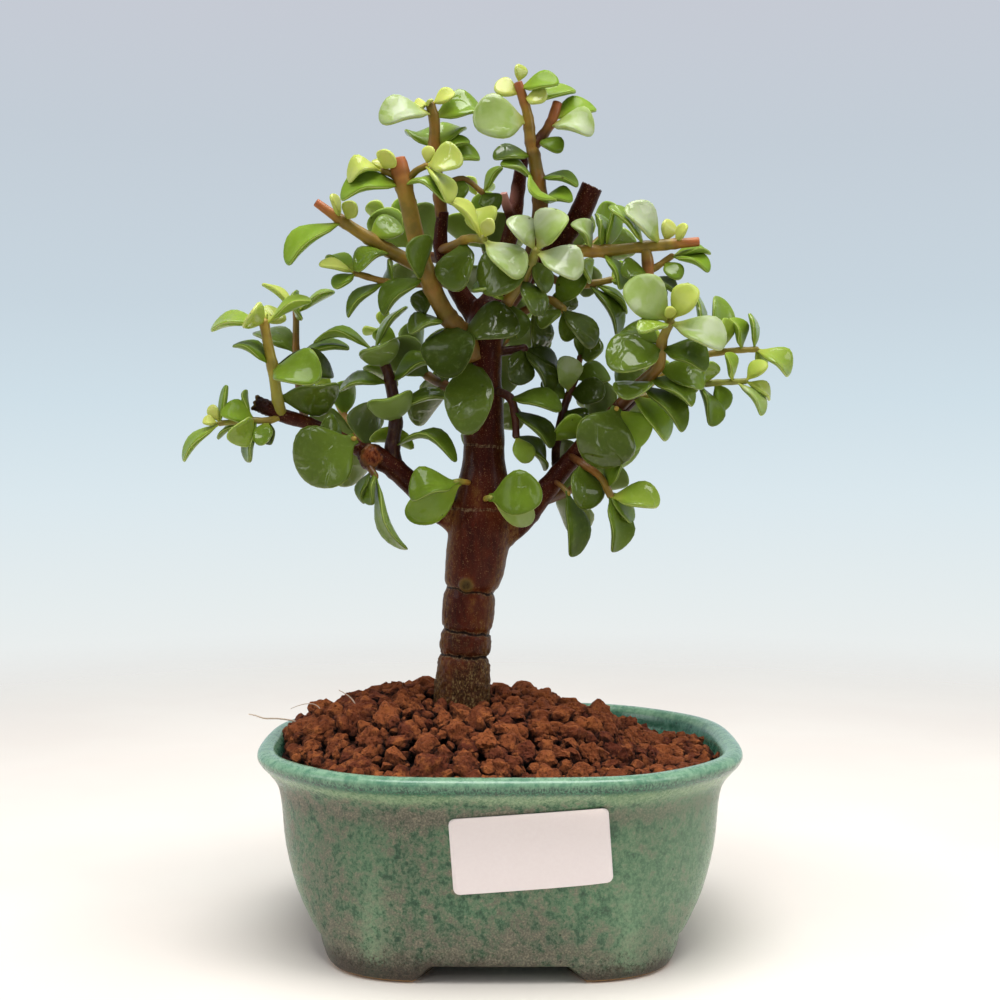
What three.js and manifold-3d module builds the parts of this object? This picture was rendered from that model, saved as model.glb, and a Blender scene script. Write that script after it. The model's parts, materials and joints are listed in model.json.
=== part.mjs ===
// A dwarf jade (Portulacaria afra) trained as a small bonsai in a glazed four-footed pot.
// Millimetres, +Z up, with +X to the right and -Y towards the viewer in the front view.
// Pieces are drawn round the middle of the pot, and the whole is then set so that the origin lies
// under the middle of its box, on the surface that the feet stand on.
import * as THREE from 'three';
import Module from 'manifold-3d';
import { mergeVertices } from 'three/addons/utils/BufferGeometryUtils.js';

// Driving dimensions of the pot
const RIM_HALF_WIDTH = 62.3;
const RIM_HALF_DEPTH = 50;
const RIM_HALF_CORNER = 60.2;
const CORNER_NORMAL = [0.651, 0.759];
const CORNER_SHARPNESS = 12;
const RIM_TOP = 50;
const POT_SIDES = 28;
const POT_FLOOR = 8;
const FOOT_HEIGHT = 4;
const FOOT_INSET = [20.2, 7.5];
const BODY_INSET = [17.2, 6.6];
const FOOT_THICKNESS = 9;
const FOOT_GAP_FRONT = [19.5, 16.5];
const FOOT_GAP_SIDE = [12.5, 9.5];
const FOOT_GAP_FLARE = 0.8;
const FOOT_GAP_EASE = [1.6, 0.6];
const DRAIN_RADIUS = 5;
const DRAIN_PLACE = 22;
const MESH_SIZE = 17;
const MESH_THICKNESS = 0.8;
const MESH_PITCH = 4;
const MESH_WINDOW = 2.6;

// Driving dimensions of the soil
const GAP = 0.3;
const SOIL_INSET = 0.8;
const MIX_TOP = 36;
const MOUND_EDGE = 46.6;
const MOUND_RISE = 15;
const MOUND_CENTRE = [-12, 4];
const MOUND_SPAN = [46, 10, 6];
const MOUND_POWER = [4, 1.9];
const MOUND_HOLLOW = 18;
const TRUNK_PLACE = [-10.1, 0];
const GRANULE_RADIUS = [3.6, 5];
const GRANULE_SPACING = 7.8;

// Driving dimensions of the label
const LABEL_SIZE = [37.3, 17.9];
const LABEL_CENTRE = [7.2, 32.1];
const LABEL_TILT = 4.2;
const LABEL_THICKNESS = 0.6;
const LABEL_CORNER = 1.3;

// The front view is drawn on the plane Y = 0 as it shows from this point
const EYE = new THREE.Vector3(0, -357, 124);

// Driving dimensions of leaves: where a blade starts, as a share of its length from the middle of
// its foot, how far out from the middle of the stem the foot sits, as a share of the radius, then
// stations along it with their share of the half width and of the thickness
const LEAF_FOOT = -0.12;
const LEAF_SEAT = 0.65;
const LEAF_STATIONS = [[0.26, 0.5, 1], [0.54, 0.97, 1], [0.82, 0.88, 0.75]];
const LEAF_THICKNESS = [0.75, 0.085];
const LEAF_CUP = 0.14;
const CLEAR_FROM = 0.3;
const LEAF_CLEARANCE = 0.7;
const FLATNESS = 0.15;
const STEM_STEP = 9;
const STEM_SIDES = 5;

const COLOURS = {
  glaze: '#3f7d68',
  mix: '#3a241a',
  granule: '#6e3a22',
  mesh: '#20262a',
  paper: '#eceae6',
  bark: '#4a1d14',
  leaf: '#5f8f35',
};

const wasm = await Module();
wasm.setup();

// Solids: a closed geometry becomes a solid, and a solid a geometry
function solidOf(geometry) {
  const bare = geometry.index ? geometry.toNonIndexed() : geometry.clone();
  bare.deleteAttribute('normal');
  bare.deleteAttribute('uv');
  const merged = mergeVertices(bare, 1e-4);
  const mesh = new wasm.Mesh({
    numProp: 3,
    vertProperties: new Float32Array(merged.attributes.position.array),
    triVerts: new Uint32Array(merged.index.array),
  });
  mesh.merge();
  return new wasm.Manifold(mesh);
}

function geometryOf(solid) {
  const mesh = solid.getMesh();
  const geometry = new THREE.BufferGeometry();
  geometry.setAttribute('position', new THREE.BufferAttribute(mesh.vertProperties, 3));
  geometry.setIndex(new THREE.BufferAttribute(mesh.triVerts, 1));
  geometry.computeVertexNormals();
  return geometry;
}

// The largest body of a solid, with faces that lie within a hair of flat joined
function largestBody(solid) {
  const bodies = solid.decompose();
  const best = bodies.reduce((held, body) => (body.volume() > held.volume() ? body : held));
  return best.asOriginal().simplify(FLATNESS);
}

// Rings of points, lowest first and anticlockwise from above, joined to a closed skin
function skin(rings) {
  const count = rings[0].length;
  const points = rings.flat();
  const faces = [];
  for (let level = 0; level + 1 < rings.length; level += 1) {
    for (let k = 0; k < count; k += 1) {
      const next = (k + 1) % count;
      const a = level * count + k;
      const b = level * count + next;
      faces.push(a, b, b + count, a, b + count, a + count);
    }
  }
  const last = (rings.length - 1) * count;
  for (let k = 1; k + 1 < count; k += 1) {
    faces.push(0, k + 1, k);
    faces.push(last, last + k, last + k + 1);
  }
  const geometry = new THREE.BufferGeometry();
  const flat = points.flatMap((point) => [point.x, point.y, point.z]);
  geometry.setAttribute('position', new THREE.Float32BufferAttribute(flat, 3));
  geometry.setIndex(faces);
  return geometry;
}

// Chance: a seeded run of numbers from 0 to 1
function chance(seed) {
  let state = seed >>> 0;
  return () => {
    state = (Math.imul(state, 1664525) + 1013904223) >>> 0;
    return state / 4294967296;
  };
}

// Pot: a soft octagon in plan, drawn in by an inset on the sides and another on front and corners
function planPoint(angle, sideInset, frontInset, z) {
  const x = Math.cos(angle);
  const y = Math.sin(angle);
  const side = Math.abs(x) / (RIM_HALF_WIDTH - sideInset);
  const front = Math.abs(y) / (RIM_HALF_DEPTH - frontInset);
  const across = CORNER_NORMAL[0] * Math.abs(x) + CORNER_NORMAL[1] * Math.abs(y);
  const corner = across / (RIM_HALF_CORNER - frontInset);
  const sum = side ** CORNER_SHARPNESS + front ** CORNER_SHARPNESS + corner ** CORNER_SHARPNESS;
  const reach = sum ** (-1 / CORNER_SHARPNESS);
  return new THREE.Vector3(x * reach, y * reach, z);
}

function planRing(sideInset, frontInset, z, sides = POT_SIDES) {
  const turn = (2 * Math.PI) / sides;
  return Array.from({ length: sides }, (_, k) => planPoint((k + 0.5) * turn, sideInset, frontInset, z));
}

// Inset on the sides, inset on front and corners, and height, from the foot up and over the rim
const POT_OUTSIDE = [
  [...FOOT_INSET, 0], [18.4, 7, 2], [...BODY_INSET, FOOT_HEIGHT + 0.3], [14.2, 6.2, 9],
  [10.5, 5.9, 16], [7.3, 5.6, 26], [6.2, 5.5, 35.5], [5.2, 5.3, 40], [3.9, 4.5, 42.4],
  [2.2, 2.9, 44.5], [0.6, 0.8, 46.6], [0, 0, 48.2],
  [0.6, 0.6, 49.5], [2, 2, RIM_TOP], [3.6, 3.6, 49.8],
];
const POT_INSIDE = [
  [5, 5, 48.4], [5.8, 5.8, 45], [9.5, 9.5, 40], [12, 10.2, 26], [15, 10.8, 16], [20, 12, 10.5],
  [25, 16, POT_FLOOR],
];

function makePot() {
  const rings = [...POT_OUTSIDE, ...POT_INSIDE].map(([side, front, z]) => planRing(side, front, z));
  let pot = solidOf(skin(rings));
  const recess = skin([
    planRing(FOOT_INSET[0] + FOOT_THICKNESS, FOOT_INSET[1] + FOOT_THICKNESS, -1),
    planRing(BODY_INSET[0] + FOOT_THICKNESS, BODY_INSET[1] + FOOT_THICKNESS, FOOT_HEIGHT),
  ]);
  pot = pot.subtract(solidOf(recess));
  const gaps = [[FOOT_GAP_FRONT, 0], [FOOT_GAP_SIDE, Math.PI / 2]];
  for (const [[low, high], turn] of gaps) {
    const mouth = low + FOOT_GAP_FLARE;
    const [easeAcross, easeUp] = FOOT_GAP_EASE;
    const half = [[mouth, -1], [high, FOOT_HEIGHT - easeUp], [high - easeAcross, FOOT_HEIGHT]];
    const mirrored = half.map(([x, z]) => [-x, z]).reverse();
    const outline = new THREE.Shape([...half, ...mirrored].map(([x, z]) => new THREE.Vector2(x, z)));
    const length = 2.2 * RIM_HALF_WIDTH;
    const gap = new THREE.ExtrudeGeometry(outline, { depth: length, bevelEnabled: false });
    gap.translate(0, 0, -length / 2);
    gap.rotateX(Math.PI / 2);
    gap.rotateZ(turn);
    pot = pot.subtract(solidOf(gap));
  }
  for (const side of [-1, 1]) {
    const hole = new THREE.CylinderGeometry(DRAIN_RADIUS, DRAIN_RADIUS, 2 * POT_FLOOR, 20);
    hole.rotateX(Math.PI / 2);
    hole.translate(side * DRAIN_PLACE, 0, POT_FLOOR / 2);
    pot = pot.subtract(solidOf(hole));
  }
  return pot;
}

// Plastic mesh over each drain hole: a square plate with a grid of square windows
function makeDrainMesh(side) {
  let plate = solidOf(new THREE.BoxGeometry(MESH_SIZE, MESH_SIZE, MESH_THICKNESS));
  for (const column of [-1, 0, 1]) {
    for (const row of [-1, 0, 1]) {
      const opening = new THREE.BoxGeometry(MESH_WINDOW, MESH_WINDOW, 3 * MESH_THICKNESS);
      opening.translate(column * MESH_PITCH, row * MESH_PITCH, 0);
      plate = plate.subtract(solidOf(opening));
    }
  }
  return plate.translate([side * DRAIN_PLACE, 0, POT_FLOOR + GAP + MESH_THICKNESS / 2]);
}

// Soil: a body of potting mix, and a mound of clay granules on it
function insideRing(z, inset) {
  const wall = POT_INSIDE;
  let level = 0;
  while (level + 2 < wall.length && wall[level + 1][2] > z) {
    level += 1;
  }
  const [upper, lower] = [wall[level], wall[level + 1]];
  const share = Math.min(1, Math.max(0, (upper[2] - z) / (upper[2] - lower[2])));
  const side = upper[0] + share * (lower[0] - upper[0]);
  const front = upper[1] + share * (lower[1] - upper[1]);
  return planRing(side + inset, front + inset, z);
}

// The mound is steep on the left, runs out flat to the right, and is hollow at the back right
function moundHeight(x, y) {
  const [cx, cy] = MOUND_CENTRE;
  const angle = Math.atan2(y - cy, x - cx);
  const wall = planPoint(Math.atan2(y, x), 6, 6, 0);
  const reach = Math.hypot(x, y) / Math.hypot(wall.x, wall.y);
  const offset = Math.hypot(x - cx, y - cy);
  const toRight = 0.5 + 0.5 * Math.cos(angle);
  const [span, moreToRight, lessAcross] = MOUND_SPAN;
  const [power, flatter] = MOUND_POWER;
  const foot = span + moreToRight * toRight - lessAcross * Math.abs(Math.sin(angle));
  const fall = Math.min(1, offset / foot) ** (power - flatter * toRight);
  const backRight = Math.max(0, Math.sin(angle - 0.2)) * Math.max(0, reach - 0.55);
  return MOUND_EDGE + MOUND_RISE * (1 - fall) - MOUND_HOLLOW * backRight;
}

function makePottingMix() {
  const bottom = POT_FLOOR + 2 * GAP + MESH_THICKNESS + 0.2;
  const levels = [bottom, 12, 16, 26, MIX_TOP];
  return solidOf(skin(levels.map((z) => insideRing(z, SOIL_INSET + GAP))));
}

// The room inside the pot, from the top of the potting mix to above the rim
function cavity() {
  const levels = [MIX_TOP + GAP, 40, 45, 48.4].map((z) => insideRing(z, SOIL_INSET + GAP));
  const mouth = levels[levels.length - 1].map((point) => new THREE.Vector3(point.x, point.y, 80));
  return solidOf(skin([...levels, mouth]));
}

function makeGranules() {
  const bottom = planRing(4, 4, 30);
  const shares = [1, 0.84, 0.62, 0.4, 0.18];
  const rings = shares.map((share) => bottom.map((point) => {
    const x = point.x * share;
    const y = point.y * share;
    return new THREE.Vector3(x, y, moundHeight(x, y));
  }));
  const draw = chance(20);
  const places = [];
  for (let attempt = 0; attempt < 9000; attempt += 1) {
    const angle = 2 * Math.PI * draw();
    const share = Math.sqrt(draw());
    const wall = planPoint(angle, 8, 8, 0);
    const place = new THREE.Vector2(wall.x * share, wall.y * share);
    const free = places.every((other) => other.distanceTo(place) > GRANULE_SPACING);
    const clearOfTrunk = place.distanceTo(new THREE.Vector2(...TRUNK_PLACE)) > 9.5;
    if (free && clearOfTrunk) {
      places.push(place);
    }
  }
  const lumps = places.map((place) => {
    const size = GRANULE_RADIUS[0] + (GRANULE_RADIUS[1] - GRANULE_RADIUS[0]) * draw();
    const lump = new THREE.OctahedronGeometry(size, 0);
    lump.rotateX(0.4 + draw());
    lump.rotateY(0.3 + draw());
    lump.scale(0.85 + 0.4 * draw(), 0.85 + 0.4 * draw(), 0.7 + 0.25 * draw());
    lump.rotateZ(6 * draw());
    lump.translate(place.x, place.y, moundHeight(place.x, place.y) + 0.3 * size);
    return solidOf(lump);
  });
  const heap = solidOf(skin([bottom, ...rings])).add(wasm.Manifold.union(lumps));
  return heap.intersect(cavity());
}

// Label: a thin sheet wrapped on the front face of the pot
function makeLabel() {
  const [width, height] = LABEL_SIZE;
  const turn = THREE.MathUtils.degToRad(LABEL_TILT);
  const steps = [-1, -1 + 2 * LABEL_CORNER / width, -0.6, -0.2, 0.2, 0.6, 1 - 2 * LABEL_CORNER / width, 1];
  const rings = [];
  for (const step of steps) {
    const along = 0.5 * step * width;
    const edge = Math.abs(step) === 1 ? LABEL_CORNER : 0;
    const ring = [];
    for (const [up, lift] of [[-1, 0], [1, 0], [1, 1], [-1, 1]]) {
      const across = up * (height / 2 - edge);
      const x = LABEL_CENTRE[0] + along * Math.cos(turn) - across * Math.sin(turn);
      const z = LABEL_CENTRE[1] + along * Math.sin(turn) + across * Math.cos(turn);
      ring.push(new THREE.Vector3(x, frontFace(x, z) - GAP - lift * LABEL_THICKNESS, z));
    }
    rings.push(ring);
  }
  return solidOf(skin(rings));
}

function frontFace(x, z) {
  let level = 0;
  while (POT_OUTSIDE[level + 1][2] < z) {
    level += 1;
  }
  const [lower, upper] = [POT_OUTSIDE[level], POT_OUTSIDE[level + 1]];
  const share = (z - lower[2]) / (upper[2] - lower[2]);
  const side = lower[0] + share * (upper[0] - lower[0]);
  const front = lower[1] + share * (upper[1] - lower[1]);
  let near = 0;
  let far = Math.PI / 2;
  for (let step = 0; step < 40; step += 1) {
    const middle = (near + far) / 2;
    if (planPoint(middle, side, front, z).x > Math.abs(x)) {
      near = middle;
    } else {
      far = middle;
    }
  }
  return -planPoint(near, side, front, z).y;
}

// Wood and stems: a round section swept along points of [x, y, z, radius]
function sweep(points, sides, growth = 0) {
  const centres = points.map(([x, y, z]) => new THREE.Vector3(x, y, z));
  const last = centres.length - 1;
  const start = centres[0].clone().sub(centres[1]).setLength(growth);
  const end = centres[last].clone().sub(centres[last - 1]).setLength(growth);
  centres[0].add(start);
  centres[last].add(end);
  let across = null;
  const rings = centres.map((centre, k) => {
    const before = centres[Math.max(0, k - 1)];
    const after = centres[Math.min(last, k + 1)];
    const along = after.clone().sub(before).normalize();
    if (!across) {
      across = Math.abs(along.z) > 0.8 ? new THREE.Vector3(1, 0, 0) : new THREE.Vector3(0, 0, 1);
    }
    across = across.clone().addScaledVector(along, -across.dot(along)).normalize();
    const side = along.clone().cross(across);
    const radius = points[k][3] + growth;
    return Array.from({ length: sides }, (_, n) => {
      const turn = (2 * Math.PI * n) / sides;
      return centre.clone()
        .addScaledVector(across, radius * Math.cos(turn))
        .addScaledVector(side, radius * Math.sin(turn));
    });
  });
  return solidOf(skin(rings));
}

// A smooth run through the points, with a step of about the given length
function smoothed(points, step) {
  const places = points.map(([x, y, z]) => new THREE.Vector3(x, y, z));
  const curve = new THREE.CatmullRomCurve3(places, false, 'centripetal');
  const result = [];
  for (let k = 0; k + 1 < points.length; k += 1) {
    const [a, b] = [points[k], points[k + 1]];
    const length = Math.hypot(b[0] - a[0], b[1] - a[1], b[2] - a[2]);
    const count = Math.max(1, Math.round(length / step));
    for (let n = 0; n < count; n += 1) {
      const share = n / count;
      const place = curve.getPoint((k + share) / (points.length - 1));
      result.push([place.x, place.y, place.z, a[3] + share * (b[3] - a[3])]);
    }
  }
  result.push(points[points.length - 1]);
  return result;
}

// A place seen at (x, z) in the front view, at depth y
function seen(x, z, y) {
  return EYE.clone().lerp(new THREE.Vector3(x, 0, z), (y - EYE.y) / -EYE.y);
}

// Trunk: [x, y, z, radius] up the middle, with the old leaf rings that pinch it
const TRUNK = [
  [-10.3, 0, 24, 2.5], [-10.3, 0, 34, 6.4], [-10.2, 0, 52, 7.6], [-10.1, 0, 62, 7.3],
  [-9.6, 0, 69.8, 6.9], [-9.5, 0, 71.4, 6.3], [-9.3, 0, 72.6, 6.8], [-8.9, 0, 76.8, 6.8],
  [-8.8, 0, 77.8, 6.2], [-8.7, 0, 79, 6.7], [-8, 0, 87, 6.9], [-7.9, 0, 88.4, 6.5],
  [-7.7, 0, 89.8, 7.1], [-6.3, 0, 96, 8], [-5.2, 0, 105, 8.6], [-4.6, 0, 110, 8.1],
  [-4.4, 0, 116, 6.9], [-4.2, 0, 123, 5.6], [-4.2, 0, 138, 5], [-4.2, 0, 151, 4.6],
  [-3.4, 0.5, 158, 5.2], [-2.2, 1.5, 163, 4.6], [-1.6, 2, 166, 3],
];

// Limbs: [x, y, z, radius] from inside the trunk to the pruned end
const LIMBS = {
  left: [
    [-7, 0, 103, 4.4], [-13.6, -1, 108.4, 3.7], [-23.6, -3, 116.9, 2.9], [-29, -4, 121.6, 2.8],
    [-33.2, -4, 123.8, 3.5], [-35.6, -4, 124.6, 2.4],
  ],
  leftEnd: [
    [-33, -4, 123.6, 2.1], [-38, -4, 126.4, 1.9], [-49.3, -5, 132, 1.85], [-55.9, -5, 134, 1.9],
    [-60, -5, 136.2, 2], [-63.2, -5, 137.2, 1.9],
  ],
  right: [
    [0, 0, 103, 4.2], [5.6, 0, 107, 3.4], [13.4, -1, 116.6, 2.8], [18.9, -1, 123.2, 2.5],
    [28, -2, 133, 2.3], [34, -2, 139, 2.2],
  ],
  highLeft: [
    [-3.5, 1, 156, 3.2], [-7, 2.4, 161.5, 2.9], [-11.8, 3, 168.5, 2.4], [-15.4, 3, 177.2, 2.1],
    [-15, 1, 187.7, 1.7],
  ],
  top: [
    [-2.4, 3, 160, 3.2], [0, 5, 172.2, 2.6], [3.6, 5, 186, 2.2], [5, 4, 195.5, 1.9],
    [6.3, 3, 203.3, 1.5],
  ],
  topSpur: [[3.4, 4, 184.5, 1.2], [1.6, 1.5, 189.5, 1.2], [0.8, 0, 192.4, 1.15]],
  stump: [
    [-1.8, 1.5, 161, 3], [4.5, 3, 168.5, 2.8], [11.8, 2, 175, 2.7], [19.4, 0, 184.5, 2.8],
    [24.1, -1, 193.9, 3],
  ],
};

function makeWood(growth) {
  const trunk = sweep(TRUNK, 11, growth);
  const limbs = Object.values(LIMBS).map((limb) => sweep(smoothed(limb, STEM_STEP), 7, growth));
  return wasm.Manifold.union([trunk, ...limbs]);
}

// Shoots. A stem is points of [x, z, y, radius] in the front view, and may carry twigs.
// A leaf is [foot x, foot z, tip x, tip z, tip depth, width, lean, youth, arch]: the foot moves to
// the nearest place on the stems, the tip is as far behind the foot as its depth, lean turns the
// upper face from the viewer (0) to the sky (90), youth runs from old (0) to the newest tips (1),
// and arch lifts the middle of the blade by that share of its length.
const SHOOTS = {
  shoot_far_left: {
    stems: [
      [[-57.6, 134, -5.5, 0.9], [-60.4, 133, -7, 0.85], [-64.8, 133, -7, 0.8], [-73.5, 132.3, -8, 0.7]],
    ],
    leaves: [
      [-64, 133, -73, 135.6, -3, 7, 40, 0.6, 0.1], [-64, 133, -65.6, 121.9, -2, 6.5, 72, 0.45, 0.05],
      [-73.5, 132.3, -71.4, 142.5, 0, 5.5, 80, 0.55, 0],
      [-73.5, 132.3, -83.2, 122.4, 0, 6.5, 72, 0.65, 0.1], [-73.5, 132.3, -75.7, 137, 1, 3.4, 30, 1, 0],
      [-73.5, 132.3, -78, 132.8, -1, 3.2, 40, 1, 0], [-65.6, 133, -67.9, 141.4, 2, 5.5, 78, 0.6, 0.05],
      [-64.2, 133, -74, 128.6, 6, 5.5, 78, 0.5, 0.1], [-64.2, 133, -70.5, 124.6, -5, 7.5, -45, 0.7, 0.1],
      [-60.6, 133, -60.8, 126.6, 1, 6, 50, 0.2, 0], [-61, 133, -63, 126.6, -5, 5, 20, 0.6, 0],
    ],
  },
  shoot_left_front: {
    stems: [
      [[-57, 134.2, -5, 1.4], [-58.2, 138.4, -8, 1.45], [-59.5, 146.9, -8.5, 1.4], [-60.9, 154, -8.8, 1.3],
        [-61.7, 158.6, -9, 1.2]],
    ],
    leaves: [
      [-61.7, 158.1, -75.6, 156.6, 0, 9.5, 72, 0.75, 0.15],
      [-61.7, 158.1, -49.1, 164.1, 0, 9, 80, 0.7, 0.08],
      [-61.7, 158.4, -65, 160.6, -9, 8, 178, 0.95, 0.05], [-61.7, 158.4, -58, 161.4, 7, 7, 20, 0.9, 0],
      [-61.7, 158.6, -61.2, 161.6, 2, 3.4, 40, 0.98, 0],
      [-58.8, 147.5, -69.3, 153.5, 0, 8.5, 72, 0.5, 0.1],
      [-58.3, 147, -47.5, 143.4, -9, 11.5, 36, 0.5, 0.12], [-56.5, 139, -42, 141, 3, 10, -42, 0.3, 0.08],
      [-58, 147, -43.5, 146, 12, 9, 35, 0.15, 0.1],
    ],
  },
  shoot_left_back: {
    stems: [
      [[-50.5, 132, -4, 1], [-52, 137, 2, 1.05], [-53.3, 149.5, 7, 1], [-53.3, 161.4, 8, 0.85]],
    ],
    leaves: [
      [-53.3, 161, -62.2, 168.3, 2, 6.5, 76, 0.9, 0.1], [-53.3, 161, -43, 166.4, 0, 8.5, 84, 0.75, 0.06],
      [-53.3, 161.3, -50, 165.6, 4, 4, 60, 0.95, 0], [-53.3, 161, -55, 164, -9, 8, 70, 0.7, 0.1],
      [-53.3, 151, -63.5, 156, 8, 9.5, 58, 0.35, 0.1], [-53.3, 150, -39.4, 152.1, 1, 8.5, 76, 0.55, 0.1],
    ],
  },
  leaves_left_limb: {
    stems: [
      [[-40.5, 128, -4.5, 1.1], [-39.6, 127.8, -8, 1.2], [-38.4, 128.2, -9.6, 1.1]],
    ],
    leaves: [
      [-38.4, 128.2, -52.6, 119, -4, 16.6, 12, 0.35, 0.1],
      [-40.4, 128, -50.4, 129.4, 2, 13, 12, 0.3, 0.08],
    ],
  },
  leaves_left_knob: {
    stems: [
      [[-33.9, 124, -4.5, 1.5], [-34.2, 121, -7, 1.5], [-32.8, 118.6, -8.6, 1.3]],
    ],
    leaves: [
      [-34.2, 120, -36.6, 111.4, 1, 6.5, 74, 0.35, 0.05], [-34, 119.2, -33.4, 111, -4, 7, 70, 0.4, 0.05],
      [-32.8, 118.6, -26.3, 98.5, -3, 9, 76, 0.45, 0.05],
    ],
  },
  leaves_crotch_left: {
    stems: [
      [[-7, 116.5, -3, 1.2], [-10, 117, -9, 1.2], [-11.4, 117, -11, 1.1]],
    ],
    leaves: [
      [-11.4, 117, -23.6, 113.4, -4, 10.5, 48, 0.45, 0.12],
      [-10.4, 116.6, -24.5, 107.5, 0, 9.5, -20, 0.6, 0.08],
    ],
  },
  leaves_crotch_right: {
    stems: [
      [[-4, 112, -4, 1.2], [-3.6, 112.6, -9.5, 1.2], [-2.6, 112.8, -11.5, 1.1]],
    ],
    leaves: [
      [-2.6, 112.8, 10.8, 113.8, -4, 11.5, 20, 0.55, 0.12], [-2.6, 112.6, 9, 106.6, 3, 7, 0, 0.8, 0.05],
    ],
  },
  shoot_left_inner: {
    stems: [
      [[-27.2, 120.5, -3.5, 2], [-28.2, 126, -3, 1.9], [-27.3, 132.6, -1, 1.7], [-28.3, 140.9, 1, 1.6],
        [-29.9, 147, 2, 1.3], [-33, 151.6, 3, 1]],
    ],
    leaves: [
      [-29.9, 147, -31.8, 152.6, -9, 10.5, 178, 0.5, 0.05],
      [-29.9, 147, -31.3, 144.4, 9, 10, 0, 0.5, 0.05], [-33, 151.4, -48.6, 154.4, 1, 8.5, 80, 0.6, 0.16],
      [-33, 151.4, -24.2, 162.6, 4, 8, 82, 0.55, 0.1], [-29, 143, -42.2, 142, 0, 8.5, 70, 0.5, 0.1],
      [-28.5, 143.3, -17.3, 149, 0, 9, 66, 0.45, 0.1],
      [-27.5, 132.6, -28.7, 138.4, -10, 11.5, 178, 0.5, 0.06],
      [-27.5, 132, -28.4, 127, 9, 11.5, 0, 0.6, 0.05], [-27.5, 136, -13.1, 139.8, 0, 9, 74, 0.45, 0.1],
      [-28, 126.5, -11.4, 123.6, -7, 8.5, 78, 0.4, 0.25],
    ],
  },
  shoot_tall_left: {
    stems: [
      [[-6.4, 149.5, -2, 2.6], [-9.4, 155.5, -4.5, 2.5], [-13.6, 160, -6, 2.4],
        [-19.2, 171.2, -8.5, 2.35], [-21.8, 180.1, -10, 2.3], [-24.1, 190, -11.5, 2.2],
        [-26.8, 201, -12.5, 2.1]],
      [[-25, 194, -11.8, 1], [-28, 197, -12, 0.95], [-30.4, 197.9, -12, 0.8]],
      [[-24.8, 194.5, -12, 0.95], [-22, 197.8, -13, 0.9], [-19.2, 199.3, -14, 0.75]],
      [[-18, 168.6, -7.6, 0.9], [-27.8, 168.8, -4, 0.9], [-37.8, 171.4, -2, 0.75]],
    ],
    leaves: [
      [-25.5, 194.6, -41.7, 192, -3, 10, 61, 0.6, 0.12],
      [-25.3, 194.4, -13.4, 188, -2, 8.5, 67, 0.6, 0.25],
      [-30.4, 197.9, -39.8, 195.3, 0, 8, 58, 0.9, 0.34], [-30.3, 197.9, -28.4, 204, -4, 6, 20, 1, 0],
      [-30.4, 197.9, -32.6, 200.8, 2, 3.4, 30, 1, 0.05], [-19.2, 199.3, -10.2, 201, -5, 9, 40, 0.9, 0.1],
      [-19.4, 199.2, -13.2, 192.6, -8, 7.5, 66, 0.75, 0.1],
      [-19.2, 199.4, -18.2, 204.4, 0, 3.6, 20, 1, 0], [-19.5, 172, -23.4, 178.4, -11, 11, 45, 0.2, 0.12],
      [-19.5, 171, -31.2, 161.3, -2, 9, 61, 0.3, 0.1],
      [-17.6, 168.6, -21.5, 160.6, 5, 6.5, 40, 0.15, 0.05],
      [-13.4, 159.6, -24.4, 156.3, -2, 8.5, 65, 0.4, 0.1],
      [-37.8, 171.4, -43.4, 167.5, -2, 6.5, 62, 0.6, 0.05],
      [-30, 169.2, -39.9, 160, 1, 7.5, 73, 0.45, 0.1], [-28, 168.8, -29.4, 175.4, 5, 6, 68, 0.4, 0.05],
      [-37.8, 171.4, -45, 176, 3, 7, 66, 0.7, 0.1], [-37.8, 171.4, -47.6, 174.6, -4, 4.6, 58, 0.95, 0.05],
      [-6.8, 150, -8.9, 127.8, -6, 12, 8, 0.45, 0.06],
      [-12.6, 158.8, -12.9, 144.4, -9, 13.4, 14, 0.15, 0.12],
      [-10.4, 156.6, 4.4, 157.5, -9, 11.5, 38, 0.15, 0.15],
    ],
  },
  shoot_left_stub: {
    stems: [
      [[-12.4, 168.6, 2.4, 1.9], [-20, 172.6, 2, 1.9], [-28, 176.8, 0.5, 1.8], [-34.4, 180.6, -1, 1.7],
        [-41.2, 185, -2, 1.4], [-47.8, 189.7, -3, 1.1]],
    ],
    leaves: [
      [-41.2, 185, -55.6, 173.6, -4, 10, 63, 0.75, 0.12], [-41, 185.3, -45, 192, -4, 4.5, 62, 1, 0],
      [-40.4, 184.6, -37.8, 190, -4, 5, 20, 0.9, 0], [-34.4, 181, -25.6, 183.6, 4, 8.5, 42, 0.5, 0.1],
      [-28.6, 176.6, -37.6, 172.4, -6, 8, 62, 0.55, 0.22],
    ],
  },
  shoot_top_left: {
    stems: [
      [[-15.2, 186, 1.4, 1.7], [-16, 194, 0, 1.6], [-17.1, 202.5, -2, 1.5], [-17.1, 211.1, -3, 1.4],
        [-18.1, 215, -4, 1.1]],
      [[-16, 193.5, 0, 0.8], [-9.7, 195.9, -1, 0.75], [-4.5, 192.3, -2, 0.7]],
    ],
    leaves: [
      [-17.5, 213, -31.2, 210.5, -6, 10.5, 54, 0.8, 0.15],
      [-17.2, 212, -4.5, 214.4, 3, 9.5, 50, 0.7, 0.1], [-18.1, 215, -24.3, 217, 0, 4.6, 45, 1, 0],
      [-18.1, 215, -19.8, 218.4, -2, 3, 10, 1, 0], [-18.1, 215, -11.8, 218.2, 0, 5, 45, 0.95, 0],
      [-17.1, 204, -22.8, 207.4, 8, 8.5, 58, 0.55, 0.1], [-17.1, 204, -11.2, 208, 8, 8.5, 58, 0.5, 0.1],
      [-16.8, 201, -5.2, 201.8, 1, 7, 52, 0.75, 0.08], [-16.8, 202.6, -8, 206, -2, 6, 72, 0.6, 0],
      [-4.5, 192.3, 0.6, 199, -1, 6.5, 76, 0.5, 0.05], [-9.7, 195.7, -12.4, 189, -3, 7, 30, 0.2, 0.05],
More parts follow.
